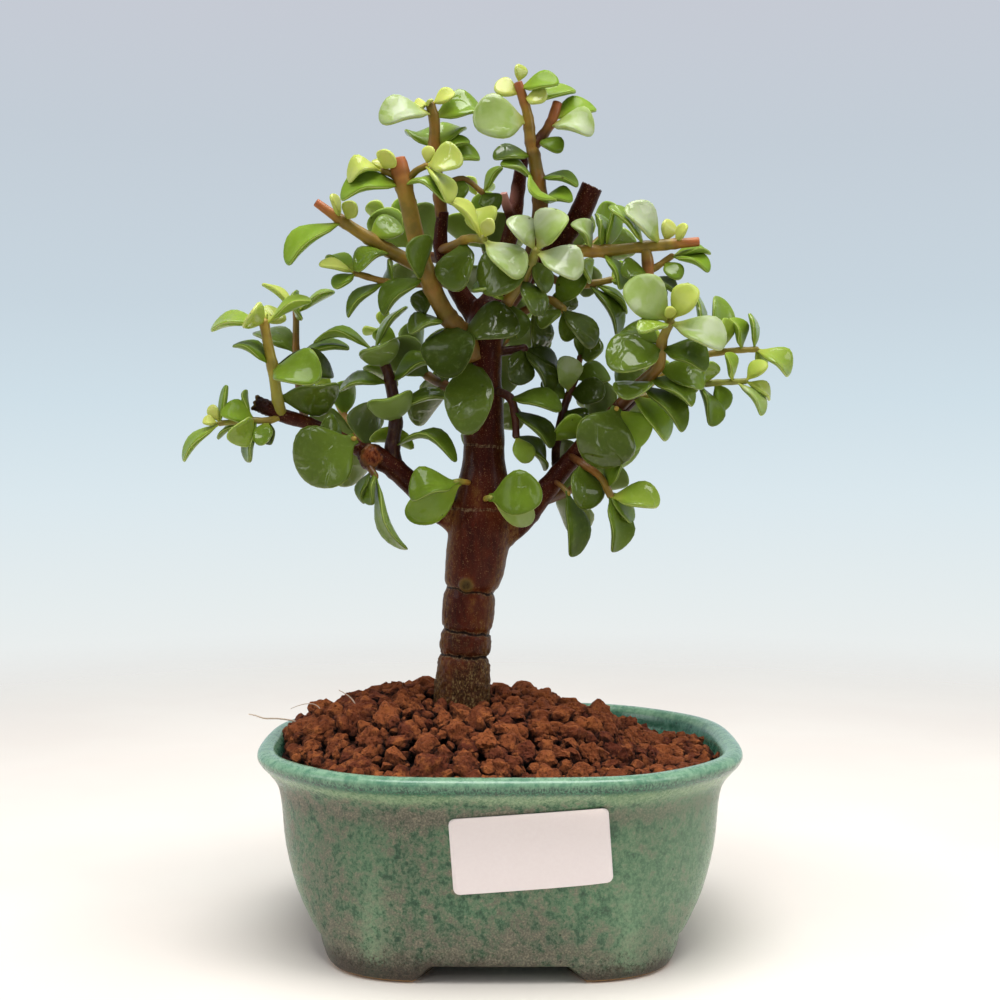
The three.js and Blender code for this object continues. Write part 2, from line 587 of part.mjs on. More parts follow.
      [-4.5, 192.3, -1, 187.6, -3, 6, 20, 0.2, 0.05],
    ],
  },
  shoot_top: {
    stems: [
      [[0.4, 161, 0.4, 2.1], [5.2, 168, -1.6, 2.1], [8.6, 177, -4, 2.1], [10.5, 189.2, -5, 2],
        [9.4, 198.6, -4.5, 1.8], [7.9, 206.4, -4.5, 1.5], [7.1, 212.9, -5, 1.3], [4.7, 220.6, -6, 1]],
      [[8.4, 203.6, -4.6, 1.3], [13.1, 210.1, -3.5, 1.3], [14.9, 215.4, -3, 1.1]],
    ],
    leaves: [
      [7.3, 211, -6.8, 210.8, -6, 12.5, 28, 0.7, 0.1], [5.6, 217.4, -1, 221, 0, 6, 38, 1, 0.05],
      [5.8, 216.6, 12, 217, -4, 6, 45, 0.95, 0.05], [4.8, 220.3, 5.4, 225.4, 1, 4, 30, 0.95, 0],
      [4.9, 219.4, 15.5, 220.6, 0, 7, 55, 0.8, 0.08], [6.2, 215.4, 19.5, 218.4, 6, 6, 60, 0.7, 0.08],
      [13.2, 209.8, 24, 208.2, -6, 10, 55, 0.75, 0.12], [13.7, 211.5, 24.6, 214, 4, 8.5, 56, 0.8, 0.1],
      [10.4, 206.4, 15.6, 203.4, -5, 6, 50, 0.3, 0.05], [8.9, 202, -1.8, 201.6, -3, 7, 62, 0.3, 0.08],
      [9.4, 195.4, 0.4, 200, -5, 6.5, 74, 0.45, 0.08], [9.6, 196.5, 20.4, 194.2, -2, 7.5, 74, 0.35, 0.1],
      [10.3, 191, 8.6, 191.6, -12, 9, 68, 0.5, 0.1], [10.4, 190.6, 17.6, 191, -6, 7, 66, 0.4, 0.08],
    ],
  },
  shoot_front: {
    stems: [
      [[-15.3, 177.5, 2, 1.3], [-12, 178.6, -3, 1.3], [-7.9, 180.4, -9, 1.2], [-4.2, 180.2, -13, 1]],
    ],
    leaves: [
      [-4.6, 180.3, -13.4, 190.4, -3, 8, 72, 0.95, 0.1], [-4.2, 180.2, -4.4, 189.6, 3, 9, 20, 0.9, 0.05],
      [-4.2, 180.2, -2.4, 185.4, -4, 4, 10, 1, 0], [-4.2, 180, 5, 169.6, -5, 10, 40, 0.8, 0.1],
      [-9.4, 179.8, -11, 166.4, -4, 10.5, 30, 0.3, 0.12],
    ],
  },
  shoot_centre: {
    stems: [
      [[-3.2, 157.2, -3, 1.5], [0.8, 162.4, -8, 1.45], [6, 170, -11.5, 1.35], [9.4, 177.2, -14, 1.1]],
    ],
    leaves: [
      [9.3, 177.2, 2.6, 186, -2, 9, 50, 0.9, 0.1], [9.5, 177.4, 17, 187, -3, 10, 38, 0.85, 0.1],
      [9.4, 177, 21, 170.8, -4, 10.5, 40, 0.85, 0.1], [8.4, 174.6, -5.2, 168.2, -3, 12.5, 26, 0.25, 0.12],
      [3.2, 163.6, -7.1, 168, -2, 7.5, 70, 0.5, 0.08], [8.6, 175, 12.4, 166.4, 3, 7, 50, 0.2, 0.05],
      [6.6, 170, 10, 160.4, -4, 8, 46, 0.25, 0.08], [3.2, 163.6, 5.2, 154.4, -1, 7, 50, 0.25, 0.05],
    ],
  },
  shoot_centre_right: {
    stems: [
      [[-0.8, 158.4, 4, 1.3], [6, 161.4, 4.6, 1.2], [12.6, 164.6, 1.5, 1.1], [16.6, 162, -2, 0.95]],
    ],
    leaves: [
      [16.6, 162, 24.4, 152.2, -3, 9, 50, 0.2, 0.1], [16, 162.4, 10.6, 157.4, -4, 6, 50, 0.3, 0.05],
      [14.8, 163.4, 21.6, 171.4, 0, 8, 32, 0.35, 0.08], [9, 163.2, 10.4, 150.4, 4, 8.5, 48, 0.2, 0.08],
      [16.4, 162, 19, 154.6, 6, 8, 30, 0.3, 0.08],
    ],
  },
  shoot_right_high: {
    stems: [
      [[11.5, 174.6, 1.5, 1.8], [16, 176.8, -3.5, 1.7], [20.6, 177.2, -5, 1.6], [27, 177.2, -5.5, 1.55],
        [39.6, 178.5, -6.5, 1.4], [51.7, 179.6, -7, 1.2]],
      [[38, 178, -6.4, 1.3], [38.6, 174, -6.2, 1.4], [38.6, 168.6, -6, 1.35]],
      [[38.6, 171.6, -6, 0.9], [42, 173.8, -5.5, 0.8], [44.9, 175.9, -5, 0.7]],
    ],
    leaves: [
      [27, 177.2, 25.4, 187, 0, 7.5, 70, 0.7, 0.08], [27.5, 177.5, 30, 187.6, 4, 7.5, 66, 0.8, 0.05],
      [27, 177, 32.3, 167.6, -2, 8, 69, 0.5, 0.08], [38, 178.3, 28.8, 189, -4, 7.5, 73, 0.75, 0.08],
      [42.2, 178.9, 32.4, 188.4, -5, 10, 52, 0.8, 0.1], [45, 179, 50.6, 182.6, -2, 4, 45, 1, 0],
      [43, 178.9, 44.5, 185.4, 1, 5, 35, 1, 0], [44.9, 175.9, 55, 177, 1, 6.5, 76, 0.6, 0.08],
      [44.9, 175.9, 54.8, 172.4, -4, 7.5, 73, 0.5, 0.08], [43, 174.6, 47, 170.2, -4, 5, 30, 0.5, 0],
      [38.6, 170.6, 46.6, 166.4, -1, 7, 70, 0.25, 0.05], [38.6, 172, 32, 171.6, -5, 7, 40, 0.35, 0.05],
      [38.6, 169, 42.6, 162.6, 4, 6.5, 60, 0.3, 0.05], [24.6, 177.2, 19.4, 184.8, -4, 7.5, 66, 0.7, 0.08],
    ],
  },
  shoot_right_middle: {
    stems: [
      [[10, 172.4, 3, 1.1], [17, 168.6, 3.5, 1.1], [23.5, 168.6, 4, 1], [28.9, 169.7, 4, 0.8]],
    ],
    leaves: [
      [24, 168.6, 20.6, 175, -5, 7, 62, 0.7, 0.05], [23.4, 168.6, 31.6, 155.4, -2, 8.5, 70, 0.35, 0.1],
      [24.6, 168.8, 33.6, 161.4, 3, 7, 82, 0.5, 0.08], [28.9, 169.7, 35.2, 173.6, 4, 6, 50, 0.8, 0.05],
      [28.9, 169.7, 34.4, 167.4, -4, 5.5, 74, 0.8, 0.05], [17, 168.6, 14.6, 161, 6, 9, 40, 0.3, 0.08],
    ],
  },
  shoot_right_rosette: {
    stems: [
      [[31.4, 136.6, -3, 1.7], [36, 141.6, -6, 1.65], [41.6, 147.6, -9, 1.5], [42.3, 153.4, -11, 1.3],
        [44.6, 159, -13, 1.05]],
    ],
    leaves: [
      [44.5, 158.8, 33, 168.8, -3, 12, 28, 0.8, 0.1], [44.6, 159, 51.4, 167.8, -4, 8.5, 34, 0.9, 0.08],
      [44.6, 158.6, 58.6, 151.8, -4, 11.5, 50, 0.8, 0.1],
      [44.4, 158.4, 36.6, 155.8, -9, 6.5, 58, 0.7, 0.05], [44.6, 159, 45.6, 163.8, -3, 3.2, 20, 1, 0],
      [42.3, 152.4, 28.6, 147, -6, 12.5, 37, 0.7, 0.12], [42.3, 153.2, 31.2, 156.8, 5, 9, 60, 0.6, 0.08],
      [42.3, 152.2, 54.4, 146.8, -3, 10, 50, 0.35, 0.12],
      [37.4, 143, 33.4, 139.6, -10, 10, 50, 0.25, 0.08], [38.5, 144.5, 51, 137.6, -3, 9, 58, 0.35, 0.1],
      [41, 147, 53, 143, 5, 8, 30, 0.4, 0.08], [37, 142.6, 48.6, 130.8, -5, 9, 58, 0.2, 0.1],
      [34.6, 140, 44.4, 128.2, 1, 9.5, 53, 0.6, 0.1],
    ],
  },
  shoot_right_upper_tip: {
    stems: [
      [[32.6, 136.6, 0, 1.1], [42, 144.6, 4, 1.05], [52, 149.6, 5, 0.95], [59.3, 151.1, 5, 0.85],
        [67.2, 151.6, 4, 0.7]],
    ],
    leaves: [
      [63.4, 151.4, 61, 160, -1, 7.5, 70, 0.85, 0.05], [66.6, 151.5, 65.2, 161, 1, 6.5, 80, 0.75, 0.08],
      [67.2, 151.6, 76.2, 145.4, -2, 8.5, 54, 0.9, 0.12], [66.8, 151.6, 69.4, 146.6, 3, 5.5, 55, 0.8, 0],
      [57, 150.8, 56.6, 165.4, 3, 8.5, 50, 0.8, 0.08], [57.6, 150.9, 58.8, 159.6, -6, 6, 58, 0.7, 0.05],
      [52, 149.6, 49.4, 169, 5, 7, 77, 0.6, 0.1], [52, 149.4, 51, 140, 5, 7, 72, 0.4, 0.08],
    ],
  },
  shoot_right_lower_tip: {
    stems: [
      [[33, 138, -2.5, 1.1], [40, 139.6, -0.5, 1.05], [48, 142, 0, 1], [55.7, 142.8, 0, 0.85],
        [64.3, 143.3, -1, 0.7]],
    ],
    leaves: [
      [61, 143.1, 59.2, 150.6, -3, 6.5, 70, 0.7, 0.05], [64.3, 143.3, 69.6, 148.4, 0, 6, 45, 0.85, 0.05],
      [64.3, 143.3, 71.2, 139, 2, 5.5, 58, 0.85, 0.05], [62, 143.1, 70.2, 135.6, -4, 7, 73, 0.75, 0.1],
      [54, 142.4, 55, 148, -6, 6, 35, 0.6, 0], [56.4, 142.6, 59, 135.6, 2, 7, 50, 0.5, 0.05],
      [52.5, 142.4, 55.6, 130.2, -5, 8.5, 64, 0.4, 0.1],
    ],
  },
  leaves_right_limb: {
    stems: [
      [[27.6, 132.6, -2.5, 1.2], [29, 134.6, -7, 1.2], [30.4, 136, -9.6, 1.1]],
    ],
    leaves: [
      [30.4, 136, 24.6, 121.4, -5, 15.3, 12, 0.4, 0.1], [30, 135.6, 39, 127, 0, 10.5, 18, 0.6, 0.08],
      [29.6, 135, 33.6, 120.8, 4, 9, 40, 0.5, 0.08],
    ],
  },
  leaves_right_limb_low: {
    stems: [
      [[18.6, 123.6, -2.5, 1], [22, 121.4, -7, 1], [26.2, 118.4, -9, 0.95], [29.1, 113.2, -10, 0.85]],
    ],
    leaves: [
      [21.6, 121.8, 22, 109.6, -4, 10, 36, 0.35, 0.1], [29.1, 113.2, 30.6, 98.4, -1, 9.5, 55, 0.4, 0.1],
      [28.4, 114.6, 34.4, 107, 4, 7, 58, 0.5, 0.05], [29.1, 113.2, 42, 111.2, -3, 9.5, 47, 0.7, 0.1],
      [28, 115.2, 31.6, 122.4, 2, 7, 58, 0.45, 0.05],
    ],
  },
  leaves_right_crotch: {
    stems: [
      [[13.6, 117.6, -2, 1.1], [16.4, 115.6, -5, 1.1], [17.8, 114, -6.5, 1]],
    ],
    leaves: [
      [17.8, 114, 19.9, 97.2, -1, 9, 53, 0.35, 0.1],
    ],
  },
  leaves_trunk_right: {
    stems: [
      [[-2, 141, -2.5, 1.2], [2.6, 139, -4.5, 1.1], [4, 134, -4.5, 1.05], [4.2, 129, -4, 0.9]],
    ],
    leaves: [
      [2.6, 139, 16, 136.6, -5, 9, 61, 0.35, 0.1], [3.6, 136, 13.4, 125.6, -2, 8.5, 62, 0.25, 0.1],
      [4.2, 129, 13.1, 119.4, 5, 8, 69, 0.35, 0.1], [4.2, 129, 7.2, 121.8, -3, 6, 25, 0.7, 0.05],
    ],
  },
  leaves_trunk_upper: {
    stems: [
      [[-2, 150.8, 1, 1.3], [3.4, 151.4, 1.5, 1.2], [6.4, 151.8, 1, 1.05]],
    ],
    leaves: [
      [6.4, 151.8, 3.4, 142.4, -4, 8, 22, 0.2, 0.05], [6.4, 151.8, 13.6, 139.8, -2, 8.5, 61, 0.2, 0.1],
      [6.4, 152, 16, 146, 6, 7.5, 62, 0.15, 0.08],
    ],
  },
  shoot_inner_right: {
    stems: [
      [[15.2, 117.6, 0, 1.2], [14.6, 124.6, 3.5, 1.15], [15.7, 131.8, 5, 1.1], [17.2, 137.6, 6, 1],
        [19.7, 144, 6, 0.9], [21, 149.6, 6, 0.75]],
    ],
    leaves: [
      [14.9, 127.6, 17.4, 133, -10, 9.5, 32, 0.6, 0.08], [21, 149.6, 22.6, 157, 2, 8, 30, 0.35, 0.08],
      [21, 149.6, 27, 152.4, -5, 7, 40, 0.4, 0.05], [18.2, 140.2, 16.6, 149.6, -5, 8, 32, 0.75, 0.08],
      [17.6, 138.6, 11, 143.4, -1, 6.5, 40, 0.4, 0.05], [19.7, 144, 28.8, 145.6, 3, 8, 40, 0.35, 0.08],
      [18.2, 140.4, 27.6, 140, -4, 8, 30, 0.2, 0.08], [16.6, 135.6, 22.4, 131.6, -4, 7, 30, 0.25, 0.05],
    ],
  },
};

// Shoots of the back, which grow by the rule: foot [x, y, z], tip [x, y, z], pairs of leaves.
// Pairs start at a share of the stem's length. Their leaves spread less and get shorter towards the
// tip: angles in degrees from the stem, and lengths at the foot and by how much less at the tip.
const PAIRS_FROM = 0.36;
const SPREAD = [78, 34, 10];
const BACK_LENGTH = [15.5, 8.5];
const BACK_FIRST_SEED = 31;
const BACK_SHOOTS = {
  shoot_back_left_low: [[-29.6, -3, 122], [-47, 27, 141], 4],
  shoot_back_left: [[-5, 1, 139], [-33, 31, 159], 5],
  shoot_back_left_high: [[-15.2, 4.4, 175.6], [-31, 27, 190], 4],
  shoot_back_low: [[-4.4, 1, 131], [-5, 36, 143], 4],
  shoot_back: [[-4, 1, 150], [6, 37, 168], 5],
  shoot_back_high: [[-0.8, 4, 170], [-6, 26, 196], 4],
  shoot_back_right_high: [[12, 2, 175.4], [33, 27, 189], 4],
  shoot_back_right: [[19, -1, 123], [42, 28, 153], 5],
  shoot_back_right_low: [[9, 0, 111], [31, 30, 126], 4],
};

// Leaves: a blade with a lens section, pointed at its foot in the stem and at its tip
function blade(leaf, whole, growth) {
  const { foot, tip, width, face, arch } = leaf;
  const axis = tip.clone().sub(foot);
  const length = axis.length();
  axis.divideScalar(length);
  const up = face.clone().addScaledVector(axis, -face.dot(axis)).normalize();
  const side = up.clone().cross(axis);
  const thickness = LEAF_THICKNESS[0] + LEAF_THICKNESS[1] * width;
  const rings = LEAF_STATIONS.map(([share, wide, thick]) => {
    const centre = foot.clone()
      .addScaledVector(axis, share * length)
      .addScaledVector(up, arch * length * Math.sin(Math.PI * share));
    const half = 0.5 * wide * width + growth;
    const rise = LEAF_CUP * half * share;
    const high = 0.5 * thick * thickness + growth;
    return [
      centre.clone().addScaledVector(side, half).addScaledVector(up, rise),
      centre.clone().addScaledVector(up, high),
      centre.clone().addScaledVector(side, -half).addScaledVector(up, rise),
      centre.clone().addScaledVector(up, -high),
    ];
  });
  const root = foot.clone().addScaledVector(axis, (whole ? LEAF_FOOT : CLEAR_FROM / 2) * length);
  const end = tip.clone().addScaledVector(axis, growth);
  return spindle(root, rings, end);
}

// Rings of points closed by a point at each end
function spindle(root, rings, end) {
  const count = rings[0].length;
  const points = [root, ...rings.flat(), end];
  const faces = [];
  const last = 1 + (rings.length - 1) * count;
  for (let k = 0; k < count; k += 1) {
    const next = (k + 1) % count;
    faces.push(0, 1 + next, 1 + k);
    faces.push(last + k, last + next, points.length - 1);
    for (let level = 0; level + 1 < rings.length; level += 1) {
      const a = 1 + level * count + k;
      const b = 1 + level * count + next;
      faces.push(a, b, b + count, a, b + count, a + count);
    }
  }
  const geometry = new THREE.BufferGeometry();
  const flat = points.flatMap((point) => [point.x, point.y, point.z]);
  geometry.setAttribute('position', new THREE.Float32BufferAttribute(flat, 3));
  geometry.setIndex(faces);
  return solidOf(geometry);
}

// A leaf may swing aside, towards the viewer and across, in degrees, and grow a little shorter
const SWINGS = [
  [0, 0], [14, 0], [-14, 0], [0, 9], [0, -9], [14, 9], [-14, 9], [14, -9], [-14, -9], [28, 0], [-28, 0],
  [28, 14], [28, -14], [-28, 14], [-28, -14], [0, 18], [0, -18], [14, 24], [14, -24], [-14, 24],
  [-14, -24], [44, 0], [-44, 0], [44, 20], [44, -20], [-44, 20], [-44, -20], [20, 36], [20, -36],
  [-20, 36], [-20, -36], [60, 0], [-60, 0],
];
const LENGTHS = [1, 0.8, 0.62];

function swung(leaf, [deep, wide], share) {
  const axis = leaf.tip.clone().sub(leaf.foot);
  const length = axis.length() * share;
  axis.normalize();
  const view = EYE.clone().sub(leaf.foot).normalize();
  const near = view.clone().addScaledVector(axis, -view.dot(axis)).normalize();
  const side = axis.clone().cross(near);
  const turned = axis.clone()
    .addScaledVector(near, Math.tan(THREE.MathUtils.degToRad(deep)))
    .addScaledVector(side, Math.tan(THREE.MathUtils.degToRad(wide)))
    .normalize();
  const tip = leaf.foot.clone().addScaledVector(turned, length);
  const width = leaf.width * (0.4 + 0.6 * share);
  return { ...leaf, tip, width };
}

// The nearest place to a point on stems of points [x, y, z, radius]
function nearestPlace(stems, target) {
  let best = null;
  for (const stem of stems) {
    for (let k = 0; k + 1 < stem.length; k += 1) {
      const a = new THREE.Vector3(...stem[k].slice(0, 3));
      const b = new THREE.Vector3(...stem[k + 1].slice(0, 3));
      const line = new THREE.Line3(a, b);
      const share = line.closestPointToPointParameter(target, true);
      const place = line.at(share, new THREE.Vector3());
      const distance = place.distanceTo(target);
      if (!best || distance < best.distance) {
        best = { place, distance, radius: stem[k][3] + share * (stem[k + 1][3] - stem[k][3]) };
      }
    }
  }
  return best;
}

// The nearest place in the front view: stems of [x, z, y, radius] and a target of [x, z]
function nearestSeen(stems, x, z) {
  const flat = stems.map((stem) => stem.map(([sx, sz]) => [sx, 0, sz]));
  let best = null;
  flat.forEach((stem, number) => {
    for (let k = 0; k + 1 < stem.length; k += 1) {
      const a = new THREE.Vector3(...stem[k]);
      const b = new THREE.Vector3(...stem[k + 1]);
      const line = new THREE.Line3(a, b);
      const share = line.closestPointToPointParameter(new THREE.Vector3(x, 0, z), true);
      const distance = line.at(share, new THREE.Vector3()).distanceTo(new THREE.Vector3(x, 0, z));
      if (!best || distance < best.distance - 1e-6) {
        const [near, far] = [stems[number][k], stems[number][k + 1]];
        const place = line.at(share, new THREE.Vector3());
        best = {
          distance,
          x: place.x,
          z: place.z,
          depth: near[2] + share * (far[2] - near[2]),
          radius: near[3] + share * (far[3] - near[3]),
        };
      }
    }
  });
  return best;
}

function drawnShoot({ stems, leaves }) {
  const swept = stems.map((stem) => stem.map(([x, z, y, radius]) => {
    const place = seen(x, z, y);
    return [place.x, place.y, place.z, radius];
  }));
  const blades = leaves.map(([footX, footZ, tipX, tipZ, depth, width, lean, youth, arch]) => {
    const root = nearestSeen(stems, footX, footZ);
    const foot = seen(root.x, root.z, root.depth);
    const tip = seen(tipX, tipZ, root.depth + depth);
    const axis = tip.clone().sub(foot).normalize();
    foot.addScaledVector(axis, LEAF_SEAT * root.radius);
    const view = EYE.clone().sub(foot).normalize();
    const near = view.clone().addScaledVector(axis, -view.dot(axis)).normalize();
    const across = axis.clone().cross(near);
    const outward = across.z + 0.5 * Math.sign(foot.x) * across.x;
    const turn = THREE.MathUtils.degToRad(outward >= 0 ? lean : -lean);
    const face = near.multiplyScalar(Math.cos(turn)).addScaledVector(across, Math.sin(turn));
    return { foot, tip, width, face, arch, youth };
  });
  return { stems: swept, leaves: blades };
}

function grownShoot([foot, tip, pairs], seed) {
  const draw = chance(seed);
  const start = new THREE.Vector3(...foot);
  const end = new THREE.Vector3(...tip);
  const rise = end.z - start.z;
  const middle = start.clone().lerp(end, 0.5);
  middle.z -= 0.12 * rise + 1.5;
  const stem = [
    [start.x, start.y, start.z, 1.5], [middle.x, middle.y, middle.z, 1.25], [end.x, end.y, end.z, 0.85],
  ];
  const curve = new THREE.QuadraticBezierCurve3(
    start,
    middle.clone().multiplyScalar(2).addScaledVector(start, -0.5).addScaledVector(end, -0.5),
    end,
  );
  const leaves = [];
  for (let pair = 0; pair < pairs; pair += 1) {
    const share = PAIRS_FROM + ((1 - PAIRS_FROM) * pair) / (pairs - 1);
    const along = curve.getTangent(share);
    const level = new THREE.Vector3(0, 0, 1).addScaledVector(along, -along.z).normalize();
    const cross = along.clone().cross(level);
    const quarter = (pair % 2) * 0.5 * Math.PI + 0.5 * draw();
    const { place, radius } = nearestPlace([smoothed(stem, STEM_STEP)], curve.getPoint(share));
    for (const half of [0, Math.PI]) {
      const turn = quarter + half;
      const out = level.clone().multiplyScalar(Math.cos(turn)).addScaledVector(cross, Math.sin(turn));
      const spread = THREE.MathUtils.degToRad(SPREAD[0] - SPREAD[1] * share + SPREAD[2] * draw());
      const axis = along.clone().multiplyScalar(Math.cos(spread)).addScaledVector(out, Math.sin(spread));
      const length = (BACK_LENGTH[0] - BACK_LENGTH[1] * share * share) * (0.85 + 0.3 * draw());
      const width = length * (0.66 + 0.16 * draw());
      const face = along.clone().multiplyScalar(Math.sin(spread)).addScaledVector(out, -Math.cos(spread));
      face.z += 0.25;
      leaves.push({
        foot: place.clone().addScaledVector(axis, LEAF_SEAT * radius),
        tip: place.clone().addScaledVector(axis, length),
        width,
        face: face.normalize(),
        arch: 0.1,
        youth: 0.25 + 0.6 * share * share,
      });
    }
  }
  return { stems: [stem], leaves };
}

// Growing: stems first, then leaf by leaf, each swung clear of what is there
function boxesMeet(a, b) {
  return [0, 1, 2].every((k) => a.min[k] <= b.max[k] && a.max[k] >= b.min[k]);
}

function meets(solid, others) {
  const box = solid.boundingBox();
  return others.some((other) => boxesMeet(box, other.box) && !solid.intersect(other.solid).isEmpty());
}

function withBox(solid) {
  return { solid, box: solid.boundingBox() };
}

function growShoots(woodClear) {
  const shoots = {};
  for (const [name, drawn] of Object.entries(SHOOTS)) {
    shoots[name] = drawnShoot(drawn);
  }
  Object.entries(BACK_SHOOTS).forEach(([name, rule], number) => {
    shoots[name] = grownShoot(rule, BACK_FIRST_SEED + number);
  });
  const names = Object.keys(shoots);
  const stemSolids = {};
  for (const name of names) {
    stemSolids[name] = shoots[name].stems.map((stem) => sweep(smoothed(stem, STEM_STEP), STEM_SIDES));
  }
  const allStems = names.flatMap((name) => stemSolids[name].map((solid) => ({ name, ...withBox(solid) })));
  const wood = withBox(woodClear);
  const placed = [];
  const solids = {};
  for (const name of names) {
    const parts = [...stemSolids[name]];
    for (const leaf of shoots[name].leaves) {
      const nearby = [
        wood,
        ...allStems,
        ...placed.map((item) => (item.name === name ? item.outer : item.whole)),
      ];
      const foreign = [
        ...allStems.filter((item) => item.name !== name),
        ...placed.filter((item) => item.name !== name).map((item) => item.whole),
      ];
      const clear = (candidate) => !meets(blade(candidate, false, LEAF_CLEARANCE / 2), nearby)
        && !meets(blade(candidate, true, GAP / 2), foreign);
      const choice = LENGTHS.flatMap((share) => SWINGS.map((swing) => [swing, share]))
        .map(([swing, share]) => () => swung(leaf, swing, share))
        .reduce((found, make) => found || (clear(make()) ? make() : null), null);
      if (!choice) {
        continue;
      }
      const whole = blade(choice, true, 0);
      const outer = blade(choice, false, 0);
      placed.push({ name, whole: withBox(whole), outer: withBox(outer) });
      parts.push(whole);
    }
    solids[name] = largestBody(wasm.Manifold.union(parts).subtract(woodClear));
  }
  return solids;
}

// Assembly
const tree = new THREE.Group();

function place(name, solid, colour, roughness) {
  const material = new THREE.MeshStandardMaterial({ color: colour, roughness, metalness: 0 });
  const mesh = new THREE.Mesh(geometryOf(solid), material);
  mesh.name = name;
  tree.add(mesh);
}

const wood = makeWood(0);
const woodClear = makeWood(GAP);
place('pot', makePot(), COLOURS.glaze, 0.3);
place('drain_mesh_left', makeDrainMesh(-1), COLOURS.mesh, 0.6);
place('drain_mesh_right', makeDrainMesh(1), COLOURS.mesh, 0.6);
place('potting_mix', makePottingMix().subtract(woodClear), COLOURS.mix, 0.95);
place('clay_granules', largestBody(makeGranules().subtract(woodClear)), COLOURS.granule, 0.9);
place('label', makeLabel(), COLOURS.paper, 0.6);
place('trunk_and_limbs', wood, COLOURS.bark, 0.45);
for (const [name, solid] of Object.entries(growShoots(woodClear))) {
  place(name, solid, COLOURS.leaf, 0.3);
}

// The origin is under the middle of the whole, on the surface that the feet stand on
const extent = new THREE.Box3().setFromObject(tree);
const middle = extent.getCenter(new THREE.Vector3());
tree.position.set(-middle.x, -middle.y, -extent.min.z);

export default tree;
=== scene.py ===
# A dwarf jade (Portulacaria afra) trained as a small bonsai, in a glazed pot on four feet.
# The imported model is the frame: each visible piece here is a finer one that stands where its solid is.
import json
import math

import bmesh
import bpy
import numpy as np
from mathutils import Matrix, Vector, noise
from mathutils.kdtree import KDTree

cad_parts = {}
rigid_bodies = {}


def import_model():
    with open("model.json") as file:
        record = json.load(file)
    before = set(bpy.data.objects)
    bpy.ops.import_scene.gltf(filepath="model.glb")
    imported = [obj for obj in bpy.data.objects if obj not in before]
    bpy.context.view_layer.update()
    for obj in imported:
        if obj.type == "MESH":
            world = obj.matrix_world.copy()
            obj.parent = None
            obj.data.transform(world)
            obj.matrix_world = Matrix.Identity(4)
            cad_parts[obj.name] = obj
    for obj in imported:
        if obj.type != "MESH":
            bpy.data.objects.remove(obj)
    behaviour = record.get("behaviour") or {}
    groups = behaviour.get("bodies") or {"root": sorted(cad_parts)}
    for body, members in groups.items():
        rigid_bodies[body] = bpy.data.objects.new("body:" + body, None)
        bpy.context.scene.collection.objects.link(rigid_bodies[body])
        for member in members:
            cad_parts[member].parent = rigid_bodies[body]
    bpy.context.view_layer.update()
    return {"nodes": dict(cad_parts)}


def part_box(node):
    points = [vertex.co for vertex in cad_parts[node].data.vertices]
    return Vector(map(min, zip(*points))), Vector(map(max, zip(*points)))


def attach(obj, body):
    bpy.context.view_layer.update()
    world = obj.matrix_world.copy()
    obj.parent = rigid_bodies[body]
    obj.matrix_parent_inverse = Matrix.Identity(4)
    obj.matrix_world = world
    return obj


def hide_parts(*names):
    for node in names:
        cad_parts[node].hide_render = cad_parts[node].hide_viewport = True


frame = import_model()

# Viewpoint: the tree is seen from a little above the fork of its trunk, through a lens of medium
# length, and the camera looks almost level at the middle of the crown.
MM = 0.001
EYE_DISTANCE = 357
EYE_HEIGHT = 124
DOWNWARD = math.radians(1.9)
LENS_LENGTH = 48.96
FILM_WIDTH = 36
pot_low, pot_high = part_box("pot")
pot_middle = Vector(((pot_low.x + pot_high.x) / 2, (pot_low.y + pot_high.y) / 2, 0))
camera_data = bpy.data.cameras.new("camera")
camera_data.sensor_width = FILM_WIDTH
camera_data.lens = LENS_LENGTH
camera = bpy.data.objects.new("camera", camera_data)
camera.location = pot_middle + Vector((0, -EYE_DISTANCE * MM, EYE_HEIGHT * MM))
camera.rotation_euler = (math.pi / 2 - DOWNWARD, 0, 0)
bpy.context.scene.collection.objects.link(camera)
bpy.context.scene.camera = camera
bpy.context.scene.view_settings.view_transform = "Standard"

# Light: a pale seamless studio, cool above and warm below, and dimmer on the near side, lit by a
# wide soft box overhead and by weaker ones from both sides and from the front.
BACKDROP = [
    (-0.5, "#f7efe4"), (-0.37, "#faf2e8"), (-0.24, "#faf5ee"), (-0.18, "#f4f3f0"),
    (-0.105, "#e9f0f1"), (-0.03, "#deebf1"), (0.04, "#d2e2eb"), (0.11, "#cad8e2"),
    (0.22, "#c6d0da"), (0.34, "#c9ccd6"), (0.6, "#9fa4ac"), (0.9, "#8a8f96"),
]
BACKDROP_SPAN = (-0.5, 0.9)
NEAR_SIDE = 0.36
FAR_SIDE = 0.97
LIT_HEIGHT = 0.12
# Name, place, size and power of each soft box
SOFT_BOXES = [
    ("overhead", (0.03, -0.08, 0.72), (0.55, 0.45), 6.0),
    ("left", (-0.72, -0.25, 0.42), (0.35, 0.5), 1.5),
    ("right", (0.7, -0.30, 0.5), (0.35, 0.5), 1.7),
    ("front", (-0.25, -0.85, 0.62), (0.25, 0.25), 0.5),
]


def add_node(tree, kind, inputs=None, **settings):
    """A node whose inputs, named or counted, take values or other nodes' outputs."""
    made = tree.nodes.new(kind)
    for name, value in settings.items():
        setattr(made, name, value)
    for name, value in (inputs or {}).items():
        if isinstance(value, bpy.types.NodeSocket):
            tree.links.new(value, made.inputs[name])
        else:
            made.inputs[name].default_value = value
    return made


